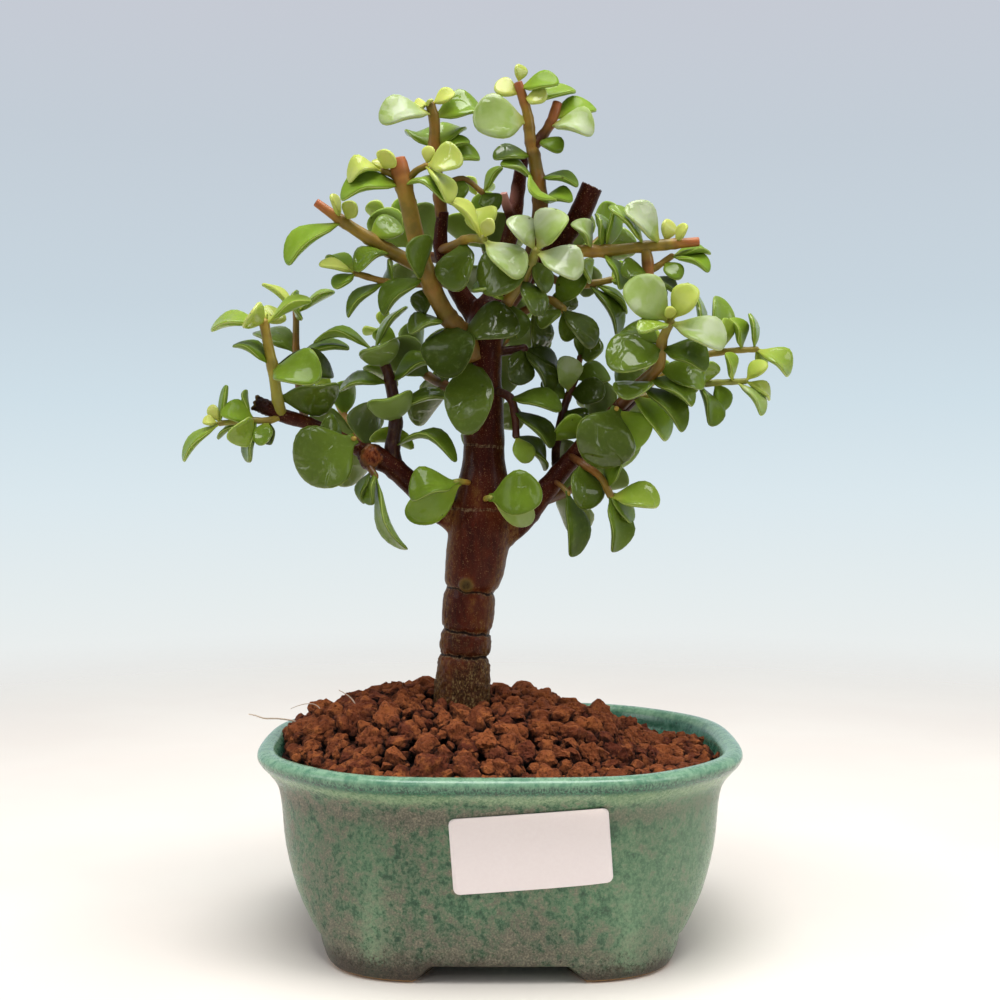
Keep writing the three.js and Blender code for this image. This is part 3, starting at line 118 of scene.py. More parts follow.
def rescale(tree, value, low, high, start=0.0, end=1.0, smooth=True):
    """Maps low to start and high to end, and holds the value between the two."""
    settings = {"interpolation_type": "SMOOTHSTEP" if smooth else "LINEAR"}
    inputs = {"Value": value, "From Min": low, "From Max": high, "To Min": start, "To Max": end}
    return add_node(tree, "ShaderNodeMapRange", inputs, **settings).outputs[0]


def colour(text):
    """A colour written as on screen, in the linear values that a shader takes."""
    parts = [int(text[k : k + 2], 16) / 255 for k in (1, 3, 5)]
    return (*[p / 12.92 if p <= 0.04045 else ((p + 0.055) / 1.055) ** 2.4 for p in parts], 1)


def colour_steps(tree, share, steps):
    """A colour that runs through steps of (share, colour)."""
    ramp = add_node(tree, "ShaderNodeValToRGB", {0: share})
    stops = ramp.color_ramp.elements
    while len(stops) < len(steps):
        stops.new(0.5)
    for stop, (level, tone) in zip(stops, steps):
        stop.position = level
        stop.color = colour(tone)
    return ramp.outputs[0]


world = bpy.data.worlds.new("studio")
bpy.context.scene.world = world
world.use_nodes = True
tree = world.node_tree
direction = add_node(tree, "ShaderNodeTexCoord").outputs["Generated"]
parts = add_node(tree, "ShaderNodeSeparateXYZ", {0: direction}).outputs
low, high = BACKDROP_SPAN
share = rescale(tree, parts["Z"], low, high, smooth=False)
tones = colour_steps(tree, share, [((level - low) / (high - low), tone) for level, tone in BACKDROP])
tree.links.new(tones, tree.nodes["Background"].inputs["Color"])
strength = rescale(tree, parts["Y"], -0.6, 0.5, NEAR_SIDE, FAR_SIDE)
tree.links.new(strength, tree.nodes["Background"].inputs["Strength"])
for name, place, size, power in SOFT_BOXES:
    lamp = bpy.data.lights.new(name, "AREA")
    lamp.shape = "RECTANGLE"
    lamp.size, lamp.size_y = size
    lamp.energy = power
    holder = bpy.data.objects.new(name, lamp)
    holder.location = place
    aim = Vector((pot_middle.x, 0, LIT_HEIGHT)) - Vector(place)
    holder.rotation_euler = aim.to_track_quat("-Z", "Y").to_euler()
    bpy.context.scene.collection.objects.link(holder)

# Floor: a plain pale tabletop with a matt face and a faint warm mottle. It is a round sheet, which
# fades into the backdrop towards its edge.
FLOOR_RINGS = (0, 0.1, 0.2, 0.4, 0.8)
FLOOR_FADE = (0.16, 0.62)
FLOOR_SIDES = 64


def speckle(tree, place, scale, detail=3.0, roughness=0.5, distortion=0.0):
    inputs = {"Vector": place, "Scale": scale, "Detail": detail, "Roughness": roughness}
    inputs["Distortion"] = distortion
    return add_node(tree, "ShaderNodeTexNoise", inputs).outputs["Fac"]


def object_place(tree, stretch=(1, 1, 1)):
    """Object coordinates in metres, stretched along the axes."""
    place = add_node(tree, "ShaderNodeTexCoord").outputs["Object"]
    return add_node(tree, "ShaderNodeMapping", {"Vector": place, "Scale": stretch}).outputs[0]


def mix_colours(tree, share, first, second, blend="MIX"):
    """A mix of two colours, each written as on screen or taken from another node."""
    first, second = [colour(tone) if isinstance(tone, str) else tone for tone in (first, second)]
    settings = {"data_type": "RGBA", "blend_type": blend, "clamp_factor": True}
    return add_node(tree, "ShaderNodeMix", {0: share, 6: first, 7: second}, **settings).outputs[2]


def new_material(name, **values):
    """A material with a principled shader, whose constant values are set by name."""
    material = bpy.data.materials.new(name)
    material.use_nodes = True
    shader = material.node_tree.nodes["Principled BSDF"]
    for key, value in values.items():
        shader.inputs[key.replace("_", " ")].default_value = value
    return material, material.node_tree, shader


def feed(tree, shader, **sockets):
    for key, socket in sockets.items():
        tree.links.new(socket, shader.inputs[key.replace("_", " ")])


def new_mesh(name, points, faces):
    mesh = bpy.data.meshes.new(name)
    mesh.from_pydata([tuple(point) for point in points], [], faces)
    mesh.update()
    return mesh


def new_object(name, mesh, material=None, smooth=True):
    made = bpy.data.objects.new(name, mesh)
    bpy.context.scene.collection.objects.link(made)
    if material:
        mesh.materials.append(material)
    if smooth and mesh.polygons:
        mesh.polygons.foreach_set("use_smooth", [True] * len(mesh.polygons))
    return made


points = [(r * math.cos(k * math.tau / FLOOR_SIDES), r * math.sin(k * math.tau / FLOOR_SIDES), 0)
          for r in FLOOR_RINGS[1:] for k in range(FLOOR_SIDES)]
faces = [list(range(FLOOR_SIDES))]
for level in range(len(FLOOR_RINGS) - 2):
    for k in range(FLOOR_SIDES):
        a, b = level * FLOOR_SIDES + k, level * FLOOR_SIDES + (k + 1) % FLOOR_SIDES
        faces.append((a, a + FLOOR_SIDES, b + FLOOR_SIDES, b))
material, tree, shader = new_material("studio_floor", Roughness=0.85)
place = object_place(tree)
tone = mix_colours(tree, rescale(tree, speckle(tree, place, 9.0), 0.35, 0.7), "#efe6dc", "#f3ece2")
distance = add_node(tree, "ShaderNodeVectorMath", {0: place}, operation="LENGTH").outputs["Value"]
alpha = rescale(tree, distance, *FLOOR_FADE, 1.0, 0.0)
feed(tree, shader, Base_Color=tone, Alpha=alpha)
floor = new_object("studio_floor", new_mesh("studio_floor", points, faces), material, smooth=False)

# Pot: slip-cast stoneware with a rolled rim and four low feet, a soft octagon in plan. The glaze is paler on
# the ridges, partly where it thins and partly as a painted highlight, pools dark under the roll of the rim,
# and thins to grey low down.
RIM_HALF_WIDTH = 62.3
RIM_HALF_DEPTH = 50
RIM_HALF_CORNER = 60.2
CORNER_NORMAL = (0.651, 0.759)
CORNER_SHARPNESS = 12
POT_SIDES = 224
POT_FLOOR = 8
FOOT_HEIGHT = 4
FOOT_GAP_FRONT = (20.8, 15.4)
FOOT_GAP_SIDE = (13.6, 8.6)
FOOT_FADE = 11
DRAIN_RADIUS = 5
DRAIN_PLACE = 22
DRAIN_SIDES = 36
PROFILE_STEPS = 3
# Inset on the sides, inset on front and corners, and height, from the foot up to the rim
POT_OUTSIDE = [
    (20.6, 8.6, 0), (19.3, 7.7, 0.5), (18.5, 7.15, 1.4), (17.8, 6.9, 3.0), (17.2, 6.75, 4.6),
    (16.9, 6.7, 6.0), (16.3, 6.5, 7.2), (14.6, 6.3, 8.8), (10.3, 5.9, 16), (7.2, 5.6, 26),
    (6.1, 5.5, 35.5), (5.2, 5.3, 40), (4.1, 4.7, 42.1), (3.0, 3.7, 43.6), (1.9, 2.6, 44.9),
    (1.0, 1.5, 46), (0.3, 0.5, 47.1), (0, 0, 48.2), (0.3, 0.3, 49.2), (1.2, 1.2, 49.8), (2.6, 2.6, 50),
    (4, 4, 49.7),
]
# How many of the last of them turn in over the top of the rim
ROLLED_OVER = 3
POT_INSIDE = [
    (5, 5, 48.6), (5.6, 5.6, 47), (6.4, 6.4, 44.5), (9.5, 9.5, 40), (12, 10.2, 26), (15, 10.8, 16),
    (18, 11.6, 11.5), (21.5, 13.5, 9), (25, 16, POT_FLOOR),
]
# Inset behind the foot's outer edge, and height, from the hollow underneath to the foot's edge
POT_UNDERSIDE = [(10.6, 4), (9.4, 3.4), (9, 2.6), (8.1, 0.4), (7.5, 0), (0.9, 0)]


def plan_shares(x, y, side_inset, front_inset):
    """How far a place lies from the middle to the pot's side, to its front and to its corner."""
    x, y = np.abs(x), np.abs(y)
    side = x / (RIM_HALF_WIDTH - side_inset)
    front = y / (RIM_HALF_DEPTH - front_inset)
    corner = (CORNER_NORMAL[0] * x + CORNER_NORMAL[1] * y) / (RIM_HALF_CORNER - front_inset)
    return side, front, corner


def plan_reach(angle, side_inset, front_inset):
    """How far the pot's plan reaches from its middle, in the direction of an angle."""
    side, front, corner = plan_shares(np.cos(angle), np.sin(angle), side_inset, front_inset)
    power = CORNER_SHARPNESS
    return (side**power + front**power + corner**power) ** (-1 / power)


def plan_ring(side_inset, front_inset, height, sides=POT_SIDES):
    angle = (np.arange(sides) + 0.5) * 2 * math.pi / sides
    reach = plan_reach(angle, side_inset, front_inset)
    return np.column_stack([np.cos(angle) * reach, np.sin(angle) * reach, np.full(sides, height)])


def eased(stations, steps):
    """A smooth run through stations, with a number of steps between each two."""
    held = np.array([stations[0], *stations, stations[-1]], float)
    result = []
    for k in range(1, len(held) - 2):
        before, start, end, after = held[k - 1 : k + 3]
        for step in range(steps):
            t = step / steps
            bend = 2 * start + (end - before) * t
            bend = bend + (2 * before - 5 * start + 4 * end - after) * t**2
            result.append(0.5 * (bend + (3 * start - before - 3 * end + after) * t**3))
    return [*result, held[-2]]


def loft(rings, closed=False):
    """Faces between rings of points, lowest first and anticlockwise from above, and its two ends."""
    count = len(rings[0])
    faces = []
    for level in range(len(rings) - 1):
        for k in range(count):
            a, b = level * count + k, level * count + (k + 1) % count
            faces.append((a, b, b + count, a + count))
    if closed:
        last = (len(rings) - 1) * count
        faces += [list(range(count))[::-1], list(range(last, last + count))]
    return faces


def foot_lift(ring):
    """How far the lower edge lies above the table: the feet stand between four arched gaps."""
    x, y = np.abs(ring[:, 0]), np.abs(ring[:, 1])
    on_front = y > x * 1.05
    along = np.where(on_front, x, y)
    wide = np.where(on_front, FOOT_GAP_FRONT[0], FOOT_GAP_SIDE[0])
    narrow = np.where(on_front, FOOT_GAP_FRONT[1], FOOT_GAP_SIDE[1])
    share = np.clip((wide - along) / (wide - narrow), 0, 1)
    return FOOT_HEIGHT * share * share * (3 - 2 * share)


def in_place(points):
    """Millimetres from the middle of the pot's foot, as places in the frame."""
    return np.asarray(points, float) * MM + np.array(pot_middle)


def plain_mesh(made):
    """Applies an object's modifiers, and leaves it as a plain mesh."""
    depsgraph = bpy.context.evaluated_depsgraph_get()
    result = bpy.data.meshes.new_from_object(
        made.evaluated_get(depsgraph), preserve_all_data_layers=True, depsgraph=depsgraph
    )
    made.modifiers.clear()
    made.data = result
    return made


def vertex_places(mesh):
    places = np.empty(len(mesh.vertices) * 3, np.float32)
    mesh.vertices.foreach_get("co", places)
    return places.reshape(-1, 3).astype(float)


def set_values(mesh, name, values, kind="FLOAT"):
    held = mesh.attributes.new(name, kind, "POINT")
    field = "vector" if kind == "FLOAT_VECTOR" else "value"
    held.data.foreach_set(field, np.asarray(values, np.float32).ravel())


outside = [plan_ring(*station) for station in eased(POT_OUTSIDE, PROFILE_STEPS)]
inside = [plan_ring(*station) for station in eased([POT_OUTSIDE[-1], *POT_INSIDE], PROFILE_STEPS)[1:]]
lift = foot_lift(outside[0])
for ring in outside:
    fade = np.clip(1 - ring[:, 2] / FOOT_FADE, 0, 1)
    ring[:, 2] += lift * fade * fade
underside = []
for inset, height in POT_UNDERSIDE:
    ring = plan_ring(POT_OUTSIDE[0][0] + inset, POT_OUTSIDE[0][1] + inset, 0)
    ring[:, 2] = np.maximum(height, lift)
    underside.append(ring)
rings = [*underside, *outside, *inside]
pot_body = new_mesh("pot_body", in_place(np.vstack(rings)), loft(rings, closed=True))
pot_piece = new_object("glazed_pot", pot_body)
cutters = []
turn = np.arange(DRAIN_SIDES) * math.tau / DRAIN_SIDES
for side in (-1, 1):
    drain = DRAIN_RADIUS * np.column_stack([np.cos(turn), np.sin(turn)]) + (side * DRAIN_PLACE, 0)
    rings = [np.column_stack([drain, np.full(DRAIN_SIDES, height)]) for height in (1, POT_FLOOR + 4)]
    plug = new_mesh("drain", in_place(np.vstack(rings)), loft(rings, closed=True))
    cutters.append(new_object("drain", plug))
    cut = pot_piece.modifiers.new("drain", "BOOLEAN")
    cut.operation = "DIFFERENCE"
    cut.solver = "EXACT"
    cut.object = cutters[-1]
plain_mesh(pot_piece)
for cutter in cutters:
    bpy.data.objects.remove(cutter)

# A ridge of the pot is where two of its three kinds of face lie equally far out
RIDGE_WIDTH = 0.05
mesh = pot_piece.data
places = (vertex_places(mesh) - np.array(pot_middle)) / MM
curve = np.array(eased(POT_OUTSIDE, PROFILE_STEPS))[: -ROLLED_OVER * PROFILE_STEPS]
side_inset, front_inset = [np.interp(places[:, 2], curve[:, 2], curve[:, k]) for k in (0, 1)]
shares = np.sort(plan_shares(places[:, 0], places[:, 1], side_inset, front_inset), axis=0)
set_values(mesh, "ridge", np.exp(-(((shares[2] - shares[1]) / RIDGE_WIDTH) ** 2)))


def calculate(tree, operation, first, second=0.0, third=0.0, clamp=False):
    inputs = {0: first, 1: second, 2: third}
    return add_node(tree, "ShaderNodeMath", inputs, operation=operation, use_clamp=clamp).outputs[0]


def times(tree, first, second):
    return calculate(tree, "MULTIPLY", first, second)


def wandering(tree, value, cloud, reach):
    """A value that a cloud moves to and fro, by half of a reach."""
    return calculate(tree, "MULTIPLY_ADD", calculate(tree, "SUBTRACT", cloud, 0.5), reach, value)


def read_value(tree, name):
    return add_node(tree, "ShaderNodeAttribute", attribute_name=name).outputs["Fac"]


def give_relief(tree, shader, height, distance, strength=1.0):
    inputs = {"Height": height, "Distance": distance, "Strength": strength}
    tree.links.new(add_node(tree, "ShaderNodeBump", inputs).outputs[0], shader.inputs["Normal"])


def dots(tree, place, scale, core, edge):
    """Small round dots, one for each cell of a scale, from one at the core to nothing at the edge."""
    inputs = {"Vector": place, "Scale": scale, "Randomness": 1}
    distance = add_node(tree, "ShaderNodeTexVoronoi", inputs).outputs["Distance"]
    return rescale(tree, distance, core, edge, 1.0, 0.0)


# The glaze changes with height, in metres: it is burnt at the foot, grey low down and at the shoulder, pale
# below the roll, partly where it breaks and partly as painted light thrown up from below, dark where it pools
# under the roll, and clear on the lip.
BARE_EDGE = (0.0008, 0.0012)
FOOT_BURN = (0.003, 0.0076)
GREY_LOW = (0.006, 0.020)
RIDGE_FADE = (0.014, 0.034)
SHOULDER = 0.0397
PALE_BREAK_AND_LIGHT = (0.0424, 0.0446)
DARK_POOL = (0.0451, 0.0466)
CLEAR_LIP = (0.0470, 0.0488)
INNER_EDGE = (0.049, 0.0475)
GLOSSY_RIM = (0.042, 0.048)
material, tree, shader = new_material(
    "celadon_glaze", IOR=1.5, Specular_IOR_Level=0.3, Coat_Roughness=0.2)
place = object_place(tree)
parts = add_node(tree, "ShaderNodeSeparateXYZ", {0: place}).outputs
height = parts["Z"]
cloud = speckle(tree, place, 62, detail=4, roughness=0.6)
mottle = speckle(tree, place, 380, detail=6, roughness=0.75, distortion=0.3)
grain = speckle(tree, object_place(tree, stretch=(1, 1, 0.8)), 1250, detail=5, roughness=0.78)
grit = speckle(tree, place, 2300, detail=3, roughness=0.6)
streak = speckle(tree, object_place(tree, stretch=(1, 1, 0.4)), 2000, detail=4, roughness=0.7)
depth = rescale(tree, calculate(tree, "MULTIPLY_ADD", grain, 0.6, mottle), 0.62, 0.98, smooth=False)
green = colour_steps(tree, depth, [(0.0, "#1f3c29"), (0.3, "#3a6044"), (0.6, "#5c8560"), (1.0, "#93ae87")])
mauve = colour_steps(tree, grit, [(0.3, "#3f3730"), (0.5, "#675b51"), (0.68, "#998977")])
less_to_right = rescale(tree, parts["X"], -0.05, 0.055, -0.05, -0.11)
low_down = rescale(tree, height, *GREY_LOW, 0.07, 0.0)
from_shoulder = calculate(tree, "ABSOLUTE", calculate(tree, "SUBTRACT", height, SHOULDER))
shoulder = rescale(tree, from_shoulder, 0.0, 0.0036, 0.08, 0.0)
grey = calculate(tree, "MULTIPLY_ADD", cloud, 0.2, times(tree, grain, 0.35))
grey = calculate(tree, "MULTIPLY_ADD", mottle, 0.85, grey)
for bias in (less_to_right, low_down, shoulder):
    grey = calculate(tree, "ADD", grey, bias)
greying = rescale(tree, grey, 0.555, 0.735)
body = mix_colours(tree, times(tree, greying, 0.85), green, mauve)
# The ridges are painted paler: partly where the glaze thins, partly a highlight painted along them.
ridge = times(tree, read_value(tree, "ridge"), rescale(tree, grain, 0.3, 0.6))
ridge = times(tree, ridge, rescale(tree, height, *RIDGE_FADE, 1.0, 0.15))
body = mix_colours(tree, rescale(tree, parts["X"], 0.01, 0.055, 0.0, 0.32), body, "#86a283")
body = mix_colours(tree, times(tree, ridge, 0.5), body, "#84a982")
jagged = wandering(tree, height, streak, 0.0034)
# Below the roll the glaze is paler: partly its own pale break with mauve specks, partly painted light thrown
# up from below.
pale_and_lit = mix_colours(tree, rescale(tree, grain, 0.4, 0.65), "#6c8b68", "#96ac86")
pale_and_lit = mix_colours(tree, times(tree, rescale(tree, grit, 0.6, 0.72), 0.4), pale_and_lit, "#9a8a76")
body = mix_colours(tree, rescale(tree, wandering(tree, jagged, cloud, 0.006), *PALE_BREAK_AND_LIGHT), body, pale_and_lit)
pooled = mix_colours(tree, rescale(tree, streak, 0.4, 0.6), "#143a2c", "#467d5f")
body = mix_colours(tree, rescale(tree, jagged, *DARK_POOL), body, pooled)
lip = mix_colours(tree, rescale(tree, mottle, 0.35, 0.65), "#57866a", "#85ab8a")
body = mix_colours(tree, rescale(tree, jagged, *CLEAR_LIP), body, lip)
facing = add_node(tree, "ShaderNodeNewGeometry").outputs["Normal"]
radial = add_node(tree, "ShaderNodeVectorMath", {0: facing, 1: place}, operation="DOT_PRODUCT")
inwards = rescale(tree, radial.outputs["Value"], -0.006, -0.001, 1.0, 0.0)
inner = times(tree, inwards, rescale(tree, height, *INNER_EDGE))
inner_tone = mix_colours(tree, rescale(tree, mottle, 0.38, 0.64), "#2f6b52", "#5a9379")
inner_tone = mix_colours(tree, times(tree, dots(tree, place, 520, 0.08, 0.22), 0.7), inner_tone, "#23352c")
body = mix_colours(tree, inner, body, inner_tone)
foot_edge = wandering(tree, wandering(tree, height, cloud, 0.014), grain, 0.012)
foot_tone = colour_steps(tree, grit, [(0.3, "#221a15"), (0.5, "#382c24"), (0.7, "#57493c")])
foot = rescale(tree, foot_edge, *FOOT_BURN, 1.0, 0.0)
body = mix_colours(tree, times(tree, foot, 0.85), body, foot_tone)
large_pits = times(tree, dots(tree, place, 300, 0.06, 0.12), rescale(tree, cloud, 0.52, 0.6))
low_pits = rescale(tree, calculate(tree, "ADD", foot, cloud), 0.6, 1.2)
small_pits = times(tree, dots(tree, place, 900, 0.1, 0.24), low_pits)
pits = calculate(tree, "MAXIMUM", large_pits, small_pits)
body = mix_colours(tree, times(tree, pits, 0.8), body, "#171412")
uneven = calculate(tree, "MULTIPLY_ADD", mottle, 0.0007, height)
bare = rescale(tree, uneven, *BARE_EDGE, 1.0, 0.0)
body = mix_colours(tree, bare, body, mix_colours(tree, grit, "#9a6f45", "#c49c6a"))
dull = rescale(tree, calculate(tree, "ADD", grain, times(tree, greying, 0.2)), 0.4, 0.85, 0.2, 0.5)
feed(tree, shader, Base_Color=body, Roughness=calculate(tree, "MAXIMUM", dull, times(tree, bare, 0.8)))
relief = calculate(tree, "MULTIPLY_ADD", grain, 0.4, speckle(tree, place, 240, detail=2))
relief = calculate(tree, "MULTIPLY_ADD", pits, -0.9, relief)
give_relief(tree, shader, relief, 0.00016, 0.55)
feed(tree, shader, Coat_Weight=rescale(tree, height, *GLOSSY_RIM, 0.12, 0.5))
pot_piece.data.materials.append(material)
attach(pot_piece, "root")
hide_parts("pot")

# Drain mesh: two squares of black plastic net, laid over the drain holes to hold the soil in.
# They are the model's own plates, with the matt, faintly scuffed face of moulded plastic.
material, tree, shader = new_material("net_plastic")
place = object_place(tree)
scuff = speckle(tree, place, 900, detail=4)
feed(tree, shader, Base_Color=mix_colours(tree, scuff, "#15191b", "#2f3538"))
feed(tree, shader, Roughness=rescale(tree, scuff, 0.3, 0.7, 0.45, 0.7))
give_relief(tree, shader, scuff, 0.00005)


def dress_node(name, material):
    """Gives one of the model's own nodes a material in place of its plain one."""
    materials = frame["nodes"][name].data.materials
    materials.clear()
    materials.append(material)


for name in ("drain_mesh_left", "drain_mesh_right"):
    dress_node(name, material)

# Label: a glossy paper sticker with round corners, stuck a little askew on the front of the pot. Its
# upper right corner has begun to lift. It is left blank.
LABEL_SIZE = (37.3, 17.9)
LABEL_CENTRE = (7.2, 32.1)
LABEL_TILT = math.radians(4.2)
LABEL_CORNER = 1.5
LABEL_LIFT = (0.06, 0.34)
LOOSE_CORNER = 4
FRONT_STEPS = 6
LABEL_ROWS = [-1, -0.985, -0.95, -0.9, -0.84, *np.linspace(-0.7, 0.7, 9), 0.84, 0.9, 0.95, 0.985, 1]
LABEL_COLUMNS = np.linspace(-1, 1, 37)
front_curve = np.array(eased(POT_OUTSIDE, FRONT_STEPS))
front_angles = np.linspace(0.8, math.pi - 0.8, 400)


def front_face(x, z):
    """How far the pot's front lies before its middle, at a place on it."""
    side, front = [np.interp(z, front_curve[:, 2], front_curve[:, k]) for k in (0, 1)]
    reach = plan_reach(front_angles, side, front)
    return np.interp(-x, -np.cos(front_angles) * reach, np.sin(front_angles) * reach)


sheets = []
for lift in LABEL_LIFT:
    for row in LABEL_ROWS:
        across = row * LABEL_SIZE[1] / 2
        past = max(0, abs(across) - (LABEL_SIZE[1] / 2 - LABEL_CORNER))
        half = LABEL_SIZE[0] / 2 - LABEL_CORNER + math.sqrt(max(0, LABEL_CORNER**2 - past**2))
        for column in LABEL_COLUMNS:
            along = column * half
            x = LABEL_CENTRE[0] + along * math.cos(LABEL_TILT) - across * math.sin(LABEL_TILT)
            z = LABEL_CENTRE[1] + along * math.sin(LABEL_TILT) + across * math.cos(LABEL_TILT)
            loose = LOOSE_CORNER * max(0, (column + row) / 2 - 0.75) ** 2
            sheets.append((x, -front_face(x, z) - lift - loose, z))
wide, tall = len(LABEL_COLUMNS), len(LABEL_ROWS)
back = wide * tall
faces = []
for r in range(tall - 1):
    for c in range(wide - 1):
        a = r * wide + c
        faces.append((a, a + wide, a + wide + 1, a + 1))
        faces.append((back + a, back + a + 1, back + a + wide + 1, back + a + wide))
edge = list(range(wide)) + [r * wide + wide - 1 for r in range(1, tall)]
edge += [(tall - 1) * wide + c for c in range(wide - 2, -1, -1)]
edge += [r * wide for r in range(tall - 2, 0, -1)]
for first, second in zip(edge, edge[1:] + edge[:1]):
    faces.append((first, second, second + back, first + back))
material, tree, shader = new_material("label_paper", Coat_Weight=0.12, Coat_Roughness=0.3)
place = object_place(tree)
fibre = speckle(tree, place, 1400, detail=4)
feed(tree, shader, Base_Color=mix_colours(tree, fibre, "#f5e8e6", "#fcf1ef"))
feed(tree, shader, Roughness=rescale(tree, fibre, 0.3, 0.7, 0.42, 0.55))
relief = calculate(tree, "MULTIPLY_ADD", fibre, 0.1, speckle(tree, place, 120, detail=2))
give_relief(tree, shader, relief, 0.00008, 0.5)
label_piece = new_object("blank_label", new_mesh("blank_label", in_place(sheets), faces), material)
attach(label_piece, "root")
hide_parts("label")

# Potting mix: the dark body of soil that fills the pot below the granules and holds the roots.
# It is the model's own block, hidden but for the drain holes.
material, tree, shader = new_material("damp_mix", Roughness=0.95)
place = object_place(tree)
crumbs = speckle(tree, place, 500, detail=6, roughness=0.7)
feed(tree, shader, Base_Color=mix_colours(tree, crumbs, "#1d120c", "#4a3020"))
give_relief(tree, shader, crumbs, 0.0008)
dress_node("potting_mix", material)

# Granules: fired red clay, broken and sieved to 3 to 9 mm, heaped loose round the trunk. Lumps of
# all sizes are scattered over the heap by rule, each a rough broken ball turned its own way.
MOUND_EDGE = 46.6
MOUND_RISE = 14.4
MOUND_CENTRE = (-12, 4)
# How far the mound spreads to the left, how much farther to the right, and how much less to the front
MOUND_SPAN = (46, 10, 6)
# How late it falls off to the left, and how much sooner to the right
MOUND_POWER = (4, 1.9)
MOUND_HOLLOW = 18
LEFT_RISE = 3.6
TRUNK_PLACE = (-10.1, 0)
TRUNK_CLEARANCE = 7.4
HEAP_SIDES = 96
# The sheet that lumps lie on: insets from the rim, rings from the wall to the middle, and depth
# below the mound's face, and the insets and height of the ring that closes it underneath
HEAP_WALL = (5.2, 7.2)
HEAP_SHARES = [1, 0.98, 0.95, 0.92, 0.88, 0.8, 0.7, 0.6, 0.5, 0.4, 0.3, 0.2, 0.1, 0.04]
HEAP_BELOW = 3.6
HEAP_UNDER = (14, 14, 36.6)
# Fineness of the lump, spacing, least and most radius, lift above the heap, innermost and outermost
# share of the way to the wall, seed. The last layer fills in along the wall.
LUMP_LAYERS = [
    (4, 7.6, 3.3, 4.7, 1.5, 0, 0.93, 3), (3, 4.7, 2.1, 3.1, 2.0, 0, 1, 5), (2, 2.6, 1.0, 1.9, 2.1, 0, 1, 8),
    (2, 2.7, 1.4, 2.4, 3.0, 0.87, 1, 11),
]
LUMP_GRADES = range(1, 5)
LUMP_KINDS = 9
LUMP_CHIPS = 9
# Lumps behind a depth are out of sight from the front: grades by which they are coarser, from, to
DEPTHS = [(0, -60, 10), (1, 10, 60)]


def mound_height(x, y):
    """The heap is highest by the trunk, climbs the wall at the left and sinks at the back right."""
    angle = math.atan2(y - MOUND_CENTRE[1], x - MOUND_CENTRE[0])
    reach = math.hypot(x, y) / plan_reach(math.atan2(y, x), 6, 6)
    offset = math.hypot(x - MOUND_CENTRE[0], y - MOUND_CENTRE[1])
    to_right = 0.5 + 0.5 * math.cos(angle)
    foot = MOUND_SPAN[0] + MOUND_SPAN[1] * to_right - MOUND_SPAN[2] * abs(math.sin(angle))
    fall = min(1, offset / foot) ** (MOUND_POWER[0] - MOUND_POWER[1] * to_right)
    back_right = max(0, math.sin(angle - 0.2)) * max(0, reach - 0.55)
    left = LEFT_RISE * max(0, -math.cos(angle)) * min(1, reach) ** 3
    return MOUND_EDGE + MOUND_RISE * (1 - fall) - MOUND_HOLLOW * back_right + left


wall = plan_ring(*HEAP_WALL, 0, HEAP_SIDES)
under = plan_ring(*HEAP_UNDER, HEAP_SIDES)
rings = [under]
for share in HEAP_SHARES:
    ring = wall * share
    ring[:, 2] = [mound_height(x, y) - HEAP_BELOW for x, y in ring[:, :2]]
    rings.append(ring)
heap = new_object("heap", new_mesh("heap", in_place(np.vstack(rings)), loft(rings, closed=True)))
# The ring underneath counts as past the wall, so that no lump hangs below the heap
PAST_WALL = 1.1
set_values(heap.data, "share", np.repeat([PAST_WALL, *HEAP_SHARES], HEAP_SIDES))


def broken_lump(seed, fineness):
    """A rough ball of radius one, chipped flat on several sides and crumbly all over."""
    builder = bmesh.new()
    bmesh.ops.create_icosphere(builder, subdivisions=fineness, radius=1)
    draw = np.random.default_rng(seed)
    stretch = 0.75 + 0.5 * draw.random(3)
    chips = draw.normal(size=(LUMP_CHIPS, 3))
    chips /= np.linalg.norm(chips, axis=1)[:, None]
    depths = 0.6 + 0.3 * draw.random(LUMP_CHIPS)
    shift = Vector(draw.random(3) * 50)
    for vertex in builder.verts:
        place = vertex.co.copy()
        size = 1 + 0.35 * noise.noise(place * 1.2 + shift)
        place = Vector([size * p * s for p, s in zip(place, stretch)])
        for chip, depth in zip(chips, depths):
            past = place.dot(Vector(chip)) - depth
            if past > 0:
                place -= Vector(chip) * past * 0.92
        knobs = noise.fractal(place * 2.2 + shift, 0.55, 2.1, 5)
        pores = max(0, 0.3 - noise.voronoi(place * 3.1 + shift)[0][0])
        vertex.co = place * (1.02 + 0.15 * knobs - 0.45 * pores)
    mesh = bpy.data.meshes.new("lump")
    builder.to_mesh(mesh)
    builder.free()
    return mesh


lump_kinds = {}
for fineness in LUMP_GRADES:
    lump_kinds[fineness] = bpy.data.collections.new(f"lumps_{fineness}")
    bpy.context.scene.collection.children.link(lump_kinds[fineness])
    for kind in range(LUMP_KINDS):
        lump_kinds[fineness].objects.link(bpy.data.objects.new("lump", broken_lump(kind, fineness)))

clay, tree, shader = new_material("red_clay", Specular_IOR_Level=0.25)
place = object_place(tree)
coarse = speckle(tree, place, 300, detail=5, roughness=0.65)
fine = speckle(tree, place, 1300, detail=5, roughness=0.7)
tone = mix_colours(tree, read_value(tree, "tint"), "#6a2f19", "#a1572c")
warmer = times(tree, rescale(tree, coarse, 0.46, 0.68), 0.8)
tone = mix_colours(tree, warmer, tone, "#b96a36")
tone = mix_colours(tree, rescale(tree, fine, 0.5, 0.68, 0.0, 0.85), tone, "#35160c")
